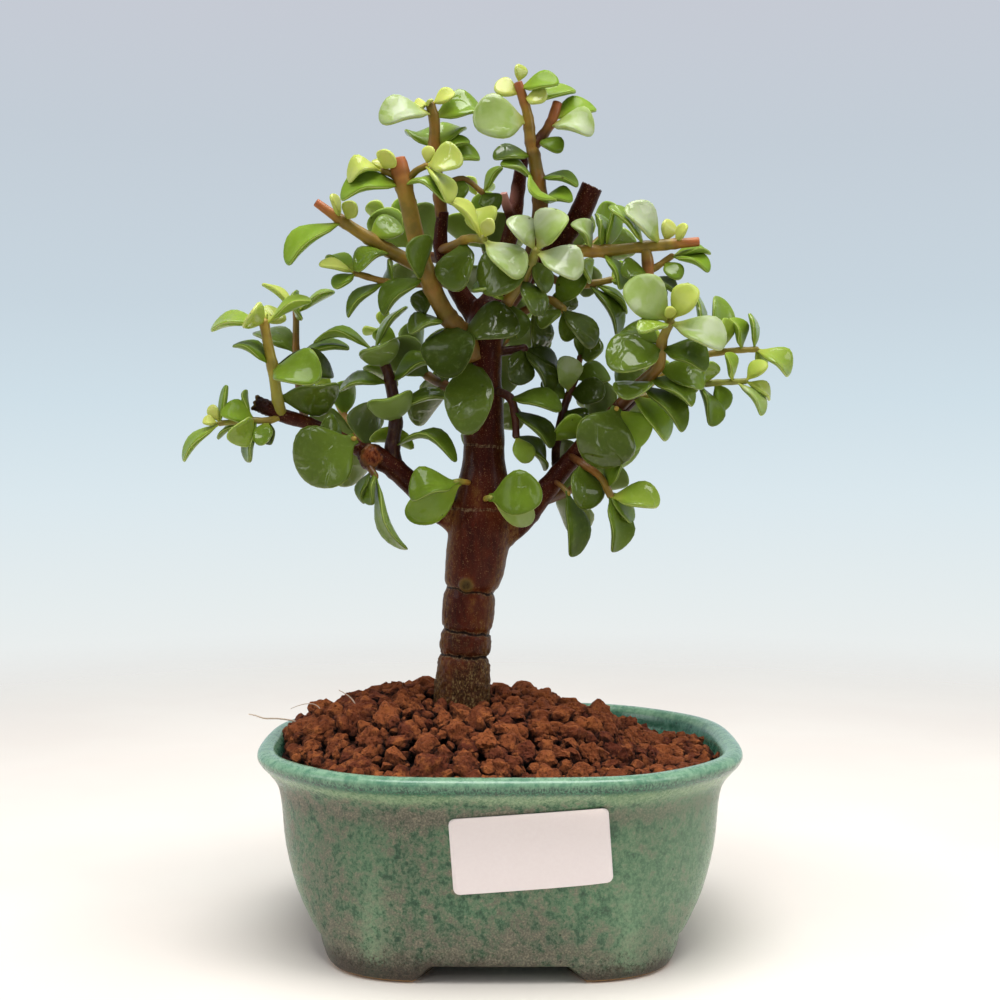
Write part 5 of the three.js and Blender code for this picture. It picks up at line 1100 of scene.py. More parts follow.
# A stem is stations of [x, z, y, radius] in the front view, as it shows on the plane through the
# trunk. A leaf is [foot x, foot z, tip x, tip z, tip depth, width, lean, youth, arch], as in the
# model: lean turns its upper face from the viewer (0) to the sky (90), youth runs from old (0) to
# the newest (1), and arch lifts the middle of the blade by that share of its length.
SHOOTS = {
  "shoot_far_left": {
    "stems": [
      [[-57.6, 134, -5.5, 0.9], [-60.4, 133, -7, 0.85], [-64.8, 133, -7, 0.8], [-73.5, 132.3, -8, 0.7]],
    ],
    "leaves": [
      [-64, 133, -73, 135.6, -3, 7, 40, 0.6, 0.1], [-64, 133, -65.6, 121.9, -2, 6.5, 72, 0.45, 0.05],
      [-73.5, 132.3, -71.4, 142.5, 0, 5.5, 80, 0.55, 0],
      [-73.5, 132.3, -83.2, 122.4, 0, 6.5, 72, 0.65, 0.1], [-73.5, 132.3, -75.7, 137, 1, 3.4, 30, 1, 0],
      [-73.5, 132.3, -78, 132.8, -1, 3.2, 40, 1, 0], [-65.6, 133, -67.9, 141.4, 2, 5.5, 78, 0.6, 0.05],
      [-64.2, 133, -74, 128.6, 6, 5.5, 78, 0.5, 0.1], [-64.2, 133, -70.5, 124.6, -5, 7.5, -45, 0.7, 0.1],
      [-60.6, 133, -60.8, 126.6, 1, 6, 50, 0.2, 0], [-61, 133, -63, 126.6, -5, 5, 20, 0.6, 0],
    ],
  },
  "shoot_left_front": {
    "stems": [
      [[-57, 134.2, -5, 1.4], [-58.2, 138.4, -8, 1.45], [-59.5, 146.9, -8.5, 1.4], [-60.9, 154, -8.8, 1.3],
        [-61.7, 158.6, -9, 1.2]],
    ],
    "leaves": [
      [-61.7, 158.1, -75.6, 156.6, 0, 9.5, 72, 0.7, 0.15],
      [-61.7, 158.1, -49.1, 164.1, 0, 9, 80, 0.7, 0.08],
      [-61.7, 158.4, -65, 160.6, -9, 8, 178, 0.95, 0.05], [-61.7, 158.4, -58, 161.4, 7, 7, 20, 0.9, 0],
      [-61.7, 158.6, -61.2, 161.6, 2, 3.4, 40, 0.98, 0],
      [-58.8, 147.5, -69.3, 153.5, 0, 8.5, 72, 0.5, 0.1],
      [-58.3, 147, -47.5, 143.4, -9, 11.5, 36, 0.5, 0.12], [-56.5, 139, -42, 141, 3, 10, -42, 0.3, 0.08],
      [-58, 147, -43.5, 146, 12, 9, 35, 0.15, 0.1],
    ],
  },
  "shoot_left_back": {
    "stems": [
      [[-50.5, 132, -4, 1], [-52, 137, 2, 1.05], [-53.3, 149.5, 7, 1], [-53.3, 161.4, 8, 0.85]],
    ],
    "leaves": [
      [-53.3, 161, -62.2, 168.3, 2, 6.5, 76, 0.9, 0.1], [-53.3, 161, -43, 166.4, 0, 8.5, 84, 0.64, 0.06],
      [-53.3, 161.3, -50, 165.6, 4, 4, 60, 0.95, 0], [-53.3, 161, -55, 164, -9, 8, 70, 0.6, 0.1],
      [-53.3, 151, -63.5, 156, 8, 9.5, 58, 0.35, 0.1], [-53.3, 150, -39.4, 152.1, 1, 8.5, 76, 0.55, 0.1],
    ],
  },
  "leaves_left_limb": {
    "stems": [
      [[-40.5, 128, -4.5, 1.1], [-39.6, 127.8, -8, 1.2], [-38.4, 128.2, -9.6, 1.1]],
    ],
    "leaves": [
      [-38.4, 128.2, -52.6, 119, -4, 16.6, 12, 0.35, 0.1],
      [-40.4, 128, -50.4, 129.4, 2, 13, 12, 0.3, 0.08],
    ],
  },
  "leaves_left_knob": {
    "stems": [
      [[-33.9, 124, -4.5, 1.5], [-34.2, 121, -7, 1.5], [-32.8, 118.6, -8.6, 1.3]],
    ],
    "leaves": [
      [-34.2, 120, -36.6, 111.4, 1, 6.5, 74, 0.35, 0.05], [-34, 119.2, -33.4, 111, -4, 7, 70, 0.4, 0.05],
      [-32.8, 118.6, -26.3, 98.5, -3, 9, 76, 0.45, 0.05],
    ],
  },
  "leaves_crotch_left": {
    "stems": [
      [[-7, 116.5, -3, 1.2], [-10, 117, -9, 1.2], [-11.4, 117, -11, 1.1]],
    ],
    "leaves": [
      [-11.4, 117, -23.6, 113.4, -4, 10.5, 48, 0.45, 0.12],
      [-10.4, 116.6, -24.5, 107.5, 0, 9.5, -20, 0.6, 0.08],
    ],
  },
  "leaves_crotch_right": {
    "stems": [
      [[-4, 112, -4, 1.2], [-3.6, 112.6, -9.5, 1.2], [-2.6, 112.8, -11.5, 1.1]],
    ],
    "leaves": [
      [-2.6, 112.8, 10.8, 113.8, -4, 11.5, 20, 0.46, 0.12], [-2.6, 112.6, 9, 106.6, 3, 7, 0, 0.8, 0.05],
    ],
  },
  "shoot_left_inner": {
    "stems": [
      [[-27.2, 120.5, -3.5, 2], [-28.2, 126, -3, 1.9], [-27.3, 132.6, -1, 1.7], [-28.3, 140.9, 1, 1.6],
        [-29.9, 147, 2, 1.3], [-33, 151.6, 3, 1]],
    ],
    "leaves": [
      [-29.9, 147, -31.8, 152.6, -9, 10.5, 178, 0.5, 0.05],
      [-29.9, 147, -31.3, 144.4, 9, 10, 0, 0.5, 0.05], [-33, 151.4, -48.6, 154.4, 1, 8.5, 80, 0.6, 0.16],
      [-33, 151.4, -24.2, 162.6, 4, 8, 82, 0.55, 0.1], [-29, 143, -42.2, 142, 0, 8.5, 70, 0.5, 0.1],
      [-28.5, 143.3, -17.3, 149, 0, 9, 66, 0.45, 0.1],
      [-27.5, 132.6, -28.7, 138.4, -10, 11.5, 178, 0.5, 0.06],
      [-27.5, 132, -28.4, 127, 9, 11.5, 0, 0.6, 0.05], [-27.5, 136, -13.1, 139.8, 0, 9, 74, 0.45, 0.1],
      [-28, 126.5, -11.4, 123.6, -7, 8.5, 78, 0.4, 0.25],
    ],
  },
  "shoot_tall_left": {
    "stems": [
      [[-6.4, 149.5, -2, 2.6], [-9.4, 155.5, -4.5, 2.5], [-13.6, 160, -6, 2.4],
        [-19.2, 171.2, -8.5, 2.35], [-21.8, 180.1, -10, 2.3], [-24.1, 190, -11.5, 2.2],
        [-26.8, 201, -12.5, 2.1]],
      [[-25, 194, -11.8, 1], [-28, 197, -12, 0.95], [-30.4, 197.9, -12, 0.8]],
      [[-24.8, 194.5, -12, 0.95], [-22, 197.8, -13, 0.9], [-19.2, 199.3, -14, 0.75]],
      [[-18, 168.6, -7.6, 0.9], [-27.8, 168.8, -4, 0.9], [-37.8, 171.4, -2, 0.75]],
    ],
    "leaves": [
      [-25.5, 194.6, -41.7, 192, -3, 10, 61, 0.6, 0.12],
      [-25.3, 194.4, -13.4, 188, -2, 8.5, 67, 0.6, 0.25],
      [-30.4, 197.9, -39.8, 195.3, 0, 8, 58, 0.9, 0.34], [-30.3, 197.9, -28.4, 204, -4, 6, 20, 1, 0],
      [-30.4, 197.9, -32.6, 200.8, 2, 3.4, 30, 1, 0.05], [-19.2, 199.3, -10.2, 201, -5, 9, 40, 0.9, 0.1],
      [-19.4, 199.2, -13.2, 192.6, -8, 7.5, 66, 0.88, 0.1],
      [-19.2, 199.4, -18.2, 204.4, 0, 3.6, 20, 1, 0], [-19.5, 172, -23.4, 178.4, -11, 11, 45, 0.2, 0.12],
      [-19.5, 171, -31.2, 161.3, -2, 9, 61, 0.3, 0.1],
      [-17.6, 168.6, -21.5, 160.6, 5, 6.5, 40, 0.15, 0.05],
      [-13.4, 159.6, -24.4, 156.3, -2, 8.5, 65, 0.4, 0.1],
      [-37.8, 171.4, -43.4, 167.5, -2, 6.5, 62, 0.6, 0.05],
      [-30, 169.2, -39.9, 160, 1, 7.5, 73, 0.45, 0.1], [-28, 168.8, -29.4, 175.4, 5, 6, 68, 0.4, 0.05],
      [-37.8, 171.4, -45, 176, 3, 7, 66, 0.6, 0.1], [-37.8, 171.4, -47.6, 174.6, -4, 4.6, 58, 0.95, 0.05],
      [-6.8, 150, -8.9, 127.8, -6, 12, 8, 0.3, 0.06],
      [-12.6, 158.8, -12.9, 144.4, -9, 13.4, 14, 0.15, 0.12],
      [-10.4, 156.6, 4.4, 157.5, -9, 11.5, 38, 0.15, 0.15],
    ],
  },
  "shoot_left_stub": {
    "stems": [
      [[-12.4, 168.6, 2.4, 1.9], [-20, 172.6, 2, 1.9], [-28, 176.8, 0.5, 1.8], [-34.4, 180.6, -1, 1.7],
        [-41.2, 185, -2, 1.4], [-47.8, 189.7, -3, 1.1]],
    ],
    "leaves": [
      [-41.2, 185, -55.6, 173.6, -4, 10, 63, 0.62, 0.12], [-41, 185.3, -45, 192, -4, 4.5, 62, 1, 0],
      [-40.4, 184.6, -37.8, 190, -4, 5, 20, 0.9, 0], [-34.4, 181, -25.6, 183.6, 4, 8.5, 42, 0.5, 0.1],
      [-28.6, 176.6, -37.6, 172.4, -6, 8, 62, 0.55, 0.22],
    ],
  },
  "shoot_top_left": {
    "stems": [
      [[-15.2, 186, 1.4, 1.7], [-16, 194, 0, 1.6], [-17.1, 202.5, -2, 1.5], [-17.1, 211.1, -3, 1.4],
        [-18.1, 215, -4, 1.1]],
      [[-16, 193.5, 0, 0.8], [-9.7, 195.9, -1, 0.75], [-4.5, 192.3, -2, 0.7]],
    ],
    "leaves": [
      [-17.5, 213, -31.2, 210.5, -6, 10.5, 54, 0.77, 0.15],
      [-17.2, 212, -4.5, 214.4, 3, 9.5, 50, 0.6, 0.1], [-18.1, 215, -24.3, 217, 0, 4.6, 45, 1, 0],
      [-18.1, 215, -19.8, 218.4, -2, 3, 10, 1, 0], [-18.1, 215, -11.8, 218.2, 0, 5, 45, 0.95, 0],
      [-17.1, 204, -22.8, 207.4, 8, 8.5, 58, 0.55, 0.1], [-17.1, 204, -11.2, 208, 8, 8.5, 58, 0.5, 0.1],
      [-16.8, 201, -5.2, 201.8, 1, 7, 52, 0.66, 0.08], [-16.8, 202.6, -8, 206, -2, 6, 72, 0.6, 0],
      [-4.5, 192.3, 0.6, 199, -1, 6.5, 76, 0.5, 0.05], [-9.7, 195.7, -12.4, 189, -3, 7, 30, 0.2, 0.05],
      [-4.5, 192.3, -1, 187.6, -3, 6, 20, 0.2, 0.05],
    ],
  },
  "shoot_top": {
    "stems": [
      [[0.4, 161, 0.4, 2.1], [5.2, 168, -1.6, 2.1], [8.6, 177, -4, 2.1], [10.5, 189.2, -5, 2],
        [9.4, 198.6, -4.5, 1.8], [7.9, 206.4, -4.5, 1.5], [7.1, 212.9, -5, 1.3], [4.7, 220.6, -6, 1]],
      [[8.4, 203.6, -4.6, 1.3], [13.1, 210.1, -3.5, 1.3], [14.9, 215.4, -3, 1.1]],
    ],
    "leaves": [
      [7.3, 211, -6.8, 210.8, -6, 12.5, 28, 0.76, 0.1], [5.6, 217.4, -1, 221, 0, 6, 38, 1, 0.05],
      [5.8, 216.6, 12, 217, -4, 6, 45, 0.95, 0.05], [4.8, 220.3, 5.4, 225.4, 1, 4, 30, 0.95, 0],
      [4.9, 219.4, 15.5, 220.6, 0, 7, 55, 0.6, 0.08], [6.2, 215.4, 19.5, 218.4, 6, 6, 60, 0.62, 0.08],
      [13.2, 209.8, 24, 208.2, -6, 10, 55, 0.77, 0.12], [13.7, 211.5, 24.6, 214, 4, 8.5, 56, 0.6, 0.1],
      [10.4, 206.4, 15.6, 203.4, -5, 6, 50, 0.3, 0.05], [8.9, 202, -1.8, 201.6, -3, 7, 62, 0.3, 0.08],
      [9.4, 195.4, 0.4, 200, -5, 6.5, 74, 0.45, 0.08], [9.6, 196.5, 20.4, 194.2, -2, 7.5, 74, 0.35, 0.1],
      [10.3, 191, 8.6, 191.6, -12, 9, 68, 0.5, 0.1], [10.4, 190.6, 17.6, 191, -6, 7, 66, 0.4, 0.08],
    ],
  },
  "shoot_front": {
    "stems": [
      [[-15.3, 177.5, 2, 1.3], [-12, 178.6, -3, 1.3], [-7.9, 180.4, -9, 1.2], [-4.2, 180.2, -13, 1]],
    ],
    "leaves": [
      [-4.6, 180.3, -13.4, 190.4, -3, 8, 72, 0.95, 0.1], [-4.2, 180.2, -4.4, 189.6, 3, 9, 20, 0.9, 0.05],
      [-4.2, 180.2, -2.4, 185.4, -4, 4, 10, 1, 0], [-4.2, 180, 5, 169.6, -5, 10, 40, 0.77, 0.1],
      [-9.4, 179.8, -11, 166.4, -4, 10.5, 30, 0.3, 0.12],
    ],
  },
  "shoot_centre": {
    "stems": [
      [[-3.2, 157.2, -3, 1.5], [0.8, 162.4, -8, 1.45], [6, 170, -11.5, 1.35], [9.4, 177.2, -14, 1.1]],
    ],
    "leaves": [
      [9.3, 177.2, 2.6, 186, -2, 9, 50, 0.77, 0.1], [9.5, 177.4, 17, 187, -3, 10, 38, 0.77, 0.1],
      [9.4, 177, 21, 170.8, -4, 10.5, 40, 0.78, 0.1], [8.4, 174.6, -5.2, 168.2, -3, 12.5, 26, 0.25, 0.12],
      [3.2, 163.6, -7.1, 168, -2, 7.5, 70, 0.5, 0.08], [8.6, 175, 12.4, 166.4, 3, 7, 50, 0.2, 0.05],
      [6.6, 170, 10, 160.4, -4, 8, 46, 0.25, 0.08], [3.2, 163.6, 5.2, 154.4, -1, 7, 50, 0.25, 0.05],
    ],
  },
  "shoot_centre_right": {
    "stems": [
      [[-0.8, 158.4, 4, 1.3], [6, 161.4, 4.6, 1.2], [12.6, 164.6, 1.5, 1.1], [16.6, 162, -2, 0.95]],
    ],
    "leaves": [
      [16.6, 162, 24.4, 152.2, -3, 9, 50, 0.2, 0.1], [16, 162.4, 10.6, 157.4, -4, 6, 50, 0.3, 0.05],
      [14.8, 163.4, 21.6, 171.4, 0, 8, 32, 0.35, 0.08], [9, 163.2, 10.4, 150.4, 4, 8.5, 48, 0.2, 0.08],
      [16.4, 162, 19, 154.6, 6, 8, 30, 0.3, 0.08],
    ],
  },
  "shoot_right_high": {
    "stems": [
      [[11.5, 174.6, 1.5, 1.8], [16, 176.8, -3.5, 1.7], [20.6, 177.2, -5, 1.6], [27, 177.2, -5.5, 1.55],
        [39.6, 178.5, -6.5, 1.4], [51.7, 179.6, -7, 1.2]],
      [[38, 178, -6.4, 1.3], [38.6, 174, -6.2, 1.4], [38.6, 168.6, -6, 1.35]],
      [[38.6, 171.6, -6, 0.9], [42, 173.8, -5.5, 0.8], [44.9, 175.9, -5, 0.7]],
    ],
    "leaves": [
      [27, 177.2, 25.4, 187, 0, 7.5, 70, 0.55, 0.08], [27.5, 177.5, 30, 187.6, 4, 7.5, 66, 0.6, 0.05],
      [27, 177, 32.3, 167.6, -2, 8, 69, 0.5, 0.08], [38, 178.3, 28.8, 189, -4, 7.5, 73, 0.62, 0.08],
      [42.2, 178.9, 32.4, 188.4, -5, 10, 52, 0.77, 0.1], [45, 179, 50.6, 182.6, -2, 4, 45, 1, 0],
      [43, 178.9, 44.5, 185.4, 1, 5, 35, 1, 0], [44.9, 175.9, 55, 177, 1, 6.5, 76, 0.6, 0.08],
      [44.9, 175.9, 54.8, 172.4, -4, 7.5, 73, 0.5, 0.08], [43, 174.6, 47, 170.2, -4, 5, 30, 0.5, 0],
      [38.6, 170.6, 46.6, 166.4, -1, 7, 70, 0.25, 0.05], [38.6, 172, 32, 171.6, -5, 7, 40, 0.35, 0.05],
      [38.6, 169, 42.6, 162.6, 4, 6.5, 60, 0.3, 0.05], [24.6, 177.2, 19.4, 184.8, -4, 7.5, 66, 0.76, 0.08],
    ],
  },
  "shoot_right_middle": {
    "stems": [
      [[10, 172.4, 3, 1.1], [17, 168.6, 3.5, 1.1], [23.5, 168.6, 4, 1], [28.9, 169.7, 4, 0.8]],
    ],
    "leaves": [
      [24, 168.6, 20.6, 175, -5, 7, 62, 0.7, 0.05], [23.4, 168.6, 31.6, 155.4, -2, 8.5, 70, 0.35, 0.1],
      [24.6, 168.8, 33.6, 161.4, 3, 7, 82, 0.5, 0.08], [28.9, 169.7, 35.2, 173.6, 4, 6, 50, 0.62, 0.05],
      [28.9, 169.7, 34.4, 167.4, -4, 5.5, 74, 0.66, 0.05], [17, 168.6, 14.6, 161, 6, 9, 40, 0.3, 0.08],
    ],
  },
  "shoot_right_rosette": {
    "stems": [
      [[31.4, 136.6, -3, 1.7], [36, 141.6, -6, 1.65], [41.6, 147.6, -9, 1.5], [42.3, 153.4, -11, 1.3],
        [44.6, 159, -13, 1.05]],
    ],
    "leaves": [
      [44.5, 158.8, 33, 168.8, -3, 12, 28, 0.77, 0.1], [44.6, 159, 51.4, 167.8, -4, 8.5, 34, 0.9, 0.08],
      [44.6, 158.6, 58.6, 151.8, -4, 11.5, 50, 0.77, 0.1],
      [44.4, 158.4, 36.6, 155.8, -9, 6.5, 58, 0.7, 0.05], [44.6, 159, 45.6, 163.8, -3, 3.2, 20, 1, 0],
      [42.3, 152.4, 28.6, 147, -6, 12.5, 37, 0.45, 0.12], [42.3, 153.2, 31.2, 156.8, 5, 9, 60, 0.4, 0.08],
      [42.3, 152.2, 54.4, 146.8, -3, 10, 50, 0.35, 0.12],
      [37.4, 143, 33.4, 139.6, -10, 10, 50, 0.45, 0.08], [38.5, 144.5, 51, 137.6, -3, 9, 58, 0.5, 0.1],
      [41, 147, 53, 143, 5, 8, 30, 0.5, 0.08], [37, 142.6, 48.6, 130.8, -5, 9, 58, 0.4, 0.1],
      [34.6, 140, 44.4, 128.2, 1, 9.5, 53, 0.6, 0.1],
    ],
  },
  "shoot_right_upper_tip": {
    "stems": [
      [[32.6, 136.6, 0, 1.1], [42, 144.6, 4, 1.05], [52, 149.6, 5, 0.95], [59.3, 151.1, 5, 0.85],
        [67.2, 151.6, 4, 0.7]],
    ],
    "leaves": [
      [63.4, 151.4, 61, 160, -1, 7.5, 70, 0.62, 0.05], [66.6, 151.5, 65.2, 161, 1, 6.5, 80, 0.6, 0.08],
      [67.2, 151.6, 76.2, 145.4, -2, 8.5, 54, 0.7, 0.12], [66.8, 151.6, 69.4, 146.6, 3, 5.5, 55, 0.7, 0],
      [57, 150.8, 56.6, 165.4, 3, 8.5, 50, 0.62, 0.08], [57.6, 150.9, 58.8, 159.6, -6, 6, 58, 0.7, 0.05],
      [52, 149.6, 49.4, 169, 5, 7, 77, 0.6, 0.1], [52, 149.4, 51, 140, 5, 7, 72, 0.4, 0.08],
    ],
  },
  "shoot_right_lower_tip": {
    "stems": [
      [[33, 138, -2.5, 1.1], [40, 139.6, -0.5, 1.05], [48, 142, 0, 1], [55.7, 142.8, 0, 0.85],
        [64.3, 143.3, -1, 0.7]],
    ],
    "leaves": [
      [61, 143.1, 59.2, 150.6, -3, 6.5, 70, 0.7, 0.05], [64.3, 143.3, 69.6, 148.4, 0, 6, 45, 0.85, 0.05],
      [64.3, 143.3, 71.2, 139, 2, 5.5, 58, 0.85, 0.05], [62, 143.1, 70.2, 135.6, -4, 7, 73, 0.75, 0.1],
      [54, 142.4, 55, 148, -6, 6, 35, 0.6, 0], [56.4, 142.6, 59, 135.6, 2, 7, 50, 0.5, 0.05],
      [52.5, 142.4, 55.6, 130.2, -5, 8.5, 64, 0.4, 0.1],
    ],
  },
  "leaves_right_limb": {
    "stems": [
      [[27.6, 132.6, -2.5, 1.2], [29, 134.6, -7, 1.2], [30.4, 136, -9.6, 1.1]],
    ],
    "leaves": [
      [30.4, 136, 24.6, 121.4, -5, 15.3, 12, 0.24, 0.1], [30, 135.6, 39, 127, 0, 10.5, 18, 0.6, 0.08],
      [29.6, 135, 33.6, 120.8, 4, 9, 40, 0.5, 0.08],
    ],
  },
  "leaves_right_limb_low": {
    "stems": [
      [[18.6, 123.6, -2.5, 1], [22, 121.4, -7, 1], [26.2, 118.4, -9, 0.95], [29.1, 113.2, -10, 0.85]],
    ],
    "leaves": [
      [21.6, 121.8, 22, 109.6, -4, 10, 36, 0.35, 0.1], [29.1, 113.2, 30.6, 98.4, -1, 9.5, 55, 0.4, 0.1],
      [28.4, 114.6, 34.4, 107, 4, 7, 58, 0.5, 0.05], [29.1, 113.2, 42, 111.2, -3, 9.5, 47, 0.7, 0.1],
      [28, 115.2, 31.6, 122.4, 2, 7, 58, 0.45, 0.05],
    ],
  },
  "leaves_right_crotch": {
    "stems": [
      [[13.6, 117.6, -2, 1.1], [16.4, 115.6, -5, 1.1], [17.8, 114, -6.5, 1]],
    ],
    "leaves": [
      [17.8, 114, 19.9, 97.2, -1, 9, 53, 0.35, 0.1],
    ],
  },
  "leaves_trunk_right": {
    "stems": [
      [[-2, 141, -2.5, 1.2], [2.6, 139, -4.5, 1.1], [4, 134, -4.5, 1.05], [4.2, 129, -4, 0.9]],
    ],
    "leaves": [
      [2.6, 139, 16, 136.6, -5, 9, 61, 0.35, 0.1], [3.6, 136, 13.4, 125.6, -2, 8.5, 62, 0.25, 0.1],
      [4.2, 129, 13.1, 119.4, 5, 8, 69, 0.35, 0.1], [4.2, 129, 7.2, 121.8, -3, 6, 25, 0.7, 0.05],
    ],
  },
  "leaves_trunk_upper": {
    "stems": [
      [[-2, 150.8, 1, 1.3], [3.4, 151.4, 1.5, 1.2], [6.4, 151.8, 1, 1.05]],
    ],
    "leaves": [
      [6.4, 151.8, 3.4, 142.4, -4, 8, 22, 0.2, 0.05], [6.4, 151.8, 13.6, 139.8, -2, 8.5, 61, 0.2, 0.1],
      [6.4, 152, 16, 146, 6, 7.5, 62, 0.15, 0.08],
    ],
  },
  "shoot_inner_right": {
    "stems": [
      [[15.2, 117.6, 0, 1.2], [14.6, 124.6, 3.5, 1.15], [15.7, 131.8, 5, 1.1], [17.2, 137.6, 6, 1],
        [19.7, 144, 6, 0.9], [21, 149.6, 6, 0.75]],
    ],
    "leaves": [
      [14.9, 127.6, 17.4, 133, -10, 9.5, 32, 0.6, 0.08], [21, 149.6, 22.6, 157, 2, 8, 30, 0.35, 0.08],
      [21, 149.6, 27, 152.4, -5, 7, 40, 0.4, 0.05], [18.2, 140.2, 16.6, 149.6, -5, 8, 32, 0.75, 0.08],
      [17.6, 138.6, 11, 143.4, -1, 6.5, 40, 0.4, 0.05], [19.7, 144, 28.8, 145.6, 3, 8, 40, 0.35, 0.08],
      [18.2, 140.4, 27.6, 140, -4, 8, 30, 0.2, 0.08], [16.6, 135.6, 22.4, 131.6, -4, 7, 30, 0.25, 0.05],
    ],
  },
}
# Shoots of the back, which grow by rule: foot, tip, pairs of leaves
BACK_SHOOTS = {
  "shoot_back_left_low": [[-29.6, -3, 122], [-47, 27, 141], 4],
  "shoot_back_left": [[-5, 1, 139], [-33, 31, 159], 5],
  "shoot_back_left_high": [[-15.2, 4.4, 175.6], [-31, 27, 190], 4],
  "shoot_back_low": [[-4.4, 1, 131], [-5, 36, 143], 4],
  "shoot_back": [[-4, 1, 150], [6, 37, 168], 5],
  "shoot_back_high": [[-0.8, 4, 170], [-6, 26, 196], 4],
  "shoot_back_right_high": [[12, 2, 175.4], [33, 27, 189], 4],
  "shoot_back_right": [[19, -1, 123], [42, 28, 153], 5],
  "shoot_back_right_low": [[9, 0, 111], [31, 30, 126], 4],
}
# A leaf swings aside, towards the viewer and across, in degrees, to clear what is there
SWINGS = [
  [0, 0], [14, 0], [-14, 0], [0, 9], [0, -9], [14, 9], [-14, 9], [14, -9], [-14, -9], [28, 0], [-28, 0],
  [28, 14], [28, -14], [-28, 14], [-28, -14], [0, 18], [0, -18], [14, 24], [14, -24], [-14, 24],
  [-14, -24], [44, 0], [-44, 0], [44, 20], [44, -20], [-44, 20], [-44, -20], [20, 36], [20, -36],
  [-20, 36], [-20, -36], [60, 0], [-60, 0],
]
# Shorter lengths that it takes where no swing is enough
LENGTHS = (1, 0.8, 0.62)
# How near, in metres, a tip lies to a point of the model's leaf that was swung the same way
SAME_TIP = 0.00003
LEAF_SEAT = 0.65
STEM_STEP = 9
STEM_SIDES = 12
FIRST_BACK_SEED = 31
EYE = Vector((0, -EYE_DISTANCE, EYE_HEIGHT))


def chance(seed):
    """A seeded run of numbers from 0 to 1."""
    state = seed
    while True:
        state = (state * 1664525 + 1013904223) % 2**32
        yield state / 2**32


def seen(x, z, y):
    """A place seen at x and z in the front view, at depth y."""
    return EYE.lerp(Vector((x, 0, z)), (y - EYE.y) / -EYE.y)


def nearest(stems, target):
    """The nearest place to a point on stems of stations: place, and what the stations hold there."""
    best = None
    for stem in stems:
        for start, end in zip(stem, stem[1:]):
            a, b = Vector(start[:3]), Vector(end[:3])
            share = min(1, max(0, (target - a).dot(b - a) / (b - a).length_squared))
            place = a.lerp(b, share)
            away = (place - target).length
            if best is None or away < best[0] - 1e-6:
                best = (away, place, [s + share * (e - s) for s, e in zip(start[3:], end[3:])])
    return best[1], best[2]


def drawn_shoot(stems, leaves):
    """Stems and leaves as they were drawn in the front view, set at their depths."""
    flat = [[(x, 0, z, y, radius) for x, z, y, radius in stem] for stem in stems]
    swept = [[(*seen(x, z, y), radius) for x, z, y, radius in stem] for stem in stems]
    grown = []
    for foot_x, foot_z, tip_x, tip_z, depth, width, lean, youth, arch in leaves:
        place, (root_depth, radius) = nearest(flat, Vector((foot_x, 0, foot_z)))
        foot = seen(place.x, place.z, root_depth)
        tip = seen(tip_x, tip_z, root_depth + depth)
        axis = (tip - foot).normalized()
        foot = foot + axis * LEAF_SEAT * radius
        view = (EYE - foot).normalized()
        near = (view - axis * view.dot(axis)).normalized()
        across = axis.cross(near)
        outward = across.z + 0.5 * math.copysign(1, foot.x) * across.x
        turn = math.radians(lean if outward >= 0 else -lean)
        face = near * math.cos(turn) + across * math.sin(turn)
        grown.append({"foot": foot, "tip": tip, "width": width, "face": face, "arch": arch, "youth": youth})
    return swept, grown


def grown_shoot(foot, tip, pairs, seed):
    """A stem that sags a little, with crosswise pairs of leaves that get smaller and younger."""
    draw = chance(seed)
    start, end = Vector(foot), Vector(tip)
    middle = start.lerp(end, 0.5)
    middle.z -= 0.12 * (end.z - start.z) + 1.5
    stem = [(*start, 1.5), (*middle, 1.25), (*end, 0.85)]
    control = middle * 2 - start * 0.5 - end * 0.5
    grown = []
    for pair in range(pairs):
        share = 0.36 + 0.64 * pair / (pairs - 1)
        point = start * (1 - share) ** 2 + control * 2 * (1 - share) * share + end * share**2
        along = ((control - start) * (1 - share) + (end - control) * share).normalized()
        level = (Vector((0, 0, 1)) - along * along.z).normalized()
        cross = along.cross(level)
        quarter = (pair % 2) * 0.5 * math.pi + 0.5 * next(draw)
        place, (radius,) = nearest([smoothed(stem, STEM_STEP)], point)
        for turn in (quarter, quarter + math.pi):
            out = level * math.cos(turn) + cross * math.sin(turn)
            spread = math.radians(78 - 34 * share + 10 * next(draw))
            axis = along * math.cos(spread) + out * math.sin(spread)
            length = (15.5 - 8.5 * share * share) * (0.85 + 0.3 * next(draw))
            width = length * (0.66 + 0.16 * next(draw))
            face = along * math.sin(spread) - out * math.cos(spread)
            face.z += 0.25
            grown.append({
                "foot": place + axis * LEAF_SEAT * radius, "tip": place + axis * length, "width": width,
                "face": face.normalized(), "arch": 0.1, "youth": 0.25 + 0.6 * share * share,
            })
    return [stem], grown


def swung(leaf, deep, wide, share):
    """A leaf turned about its foot by two angles in degrees, and shortened to a share."""
    axis = leaf["tip"] - leaf["foot"]
    length = axis.length * share
    axis.normalize()
    view = (EYE - leaf["foot"]).normalized()
    near = (view - axis * view.dot(axis)).normalized()
    side = axis.cross(near)
    turned = axis + near * math.tan(math.radians(deep)) + side * math.tan(math.radians(wide))
    tip = leaf["foot"] + turned.normalized() * length
    return {**leaf, "tip": tip, "width": leaf["width"] * (0.4 + 0.6 * share)}


def settled(leaf, solid_points):
    """The leaf as it was swung clear in the model: the first choice whose tip is a point there."""
    best = None
    for share in LENGTHS:
        for deep, wide in SWINGS:
            choice = swung(leaf, deep, wide, share)
            away = solid_points.find(in_place(choice["tip"]))[2]
            if away < SAME_TIP:
                return choice
            if best is None or away < best[0]:
                best = (away, choice)
    return best[1]


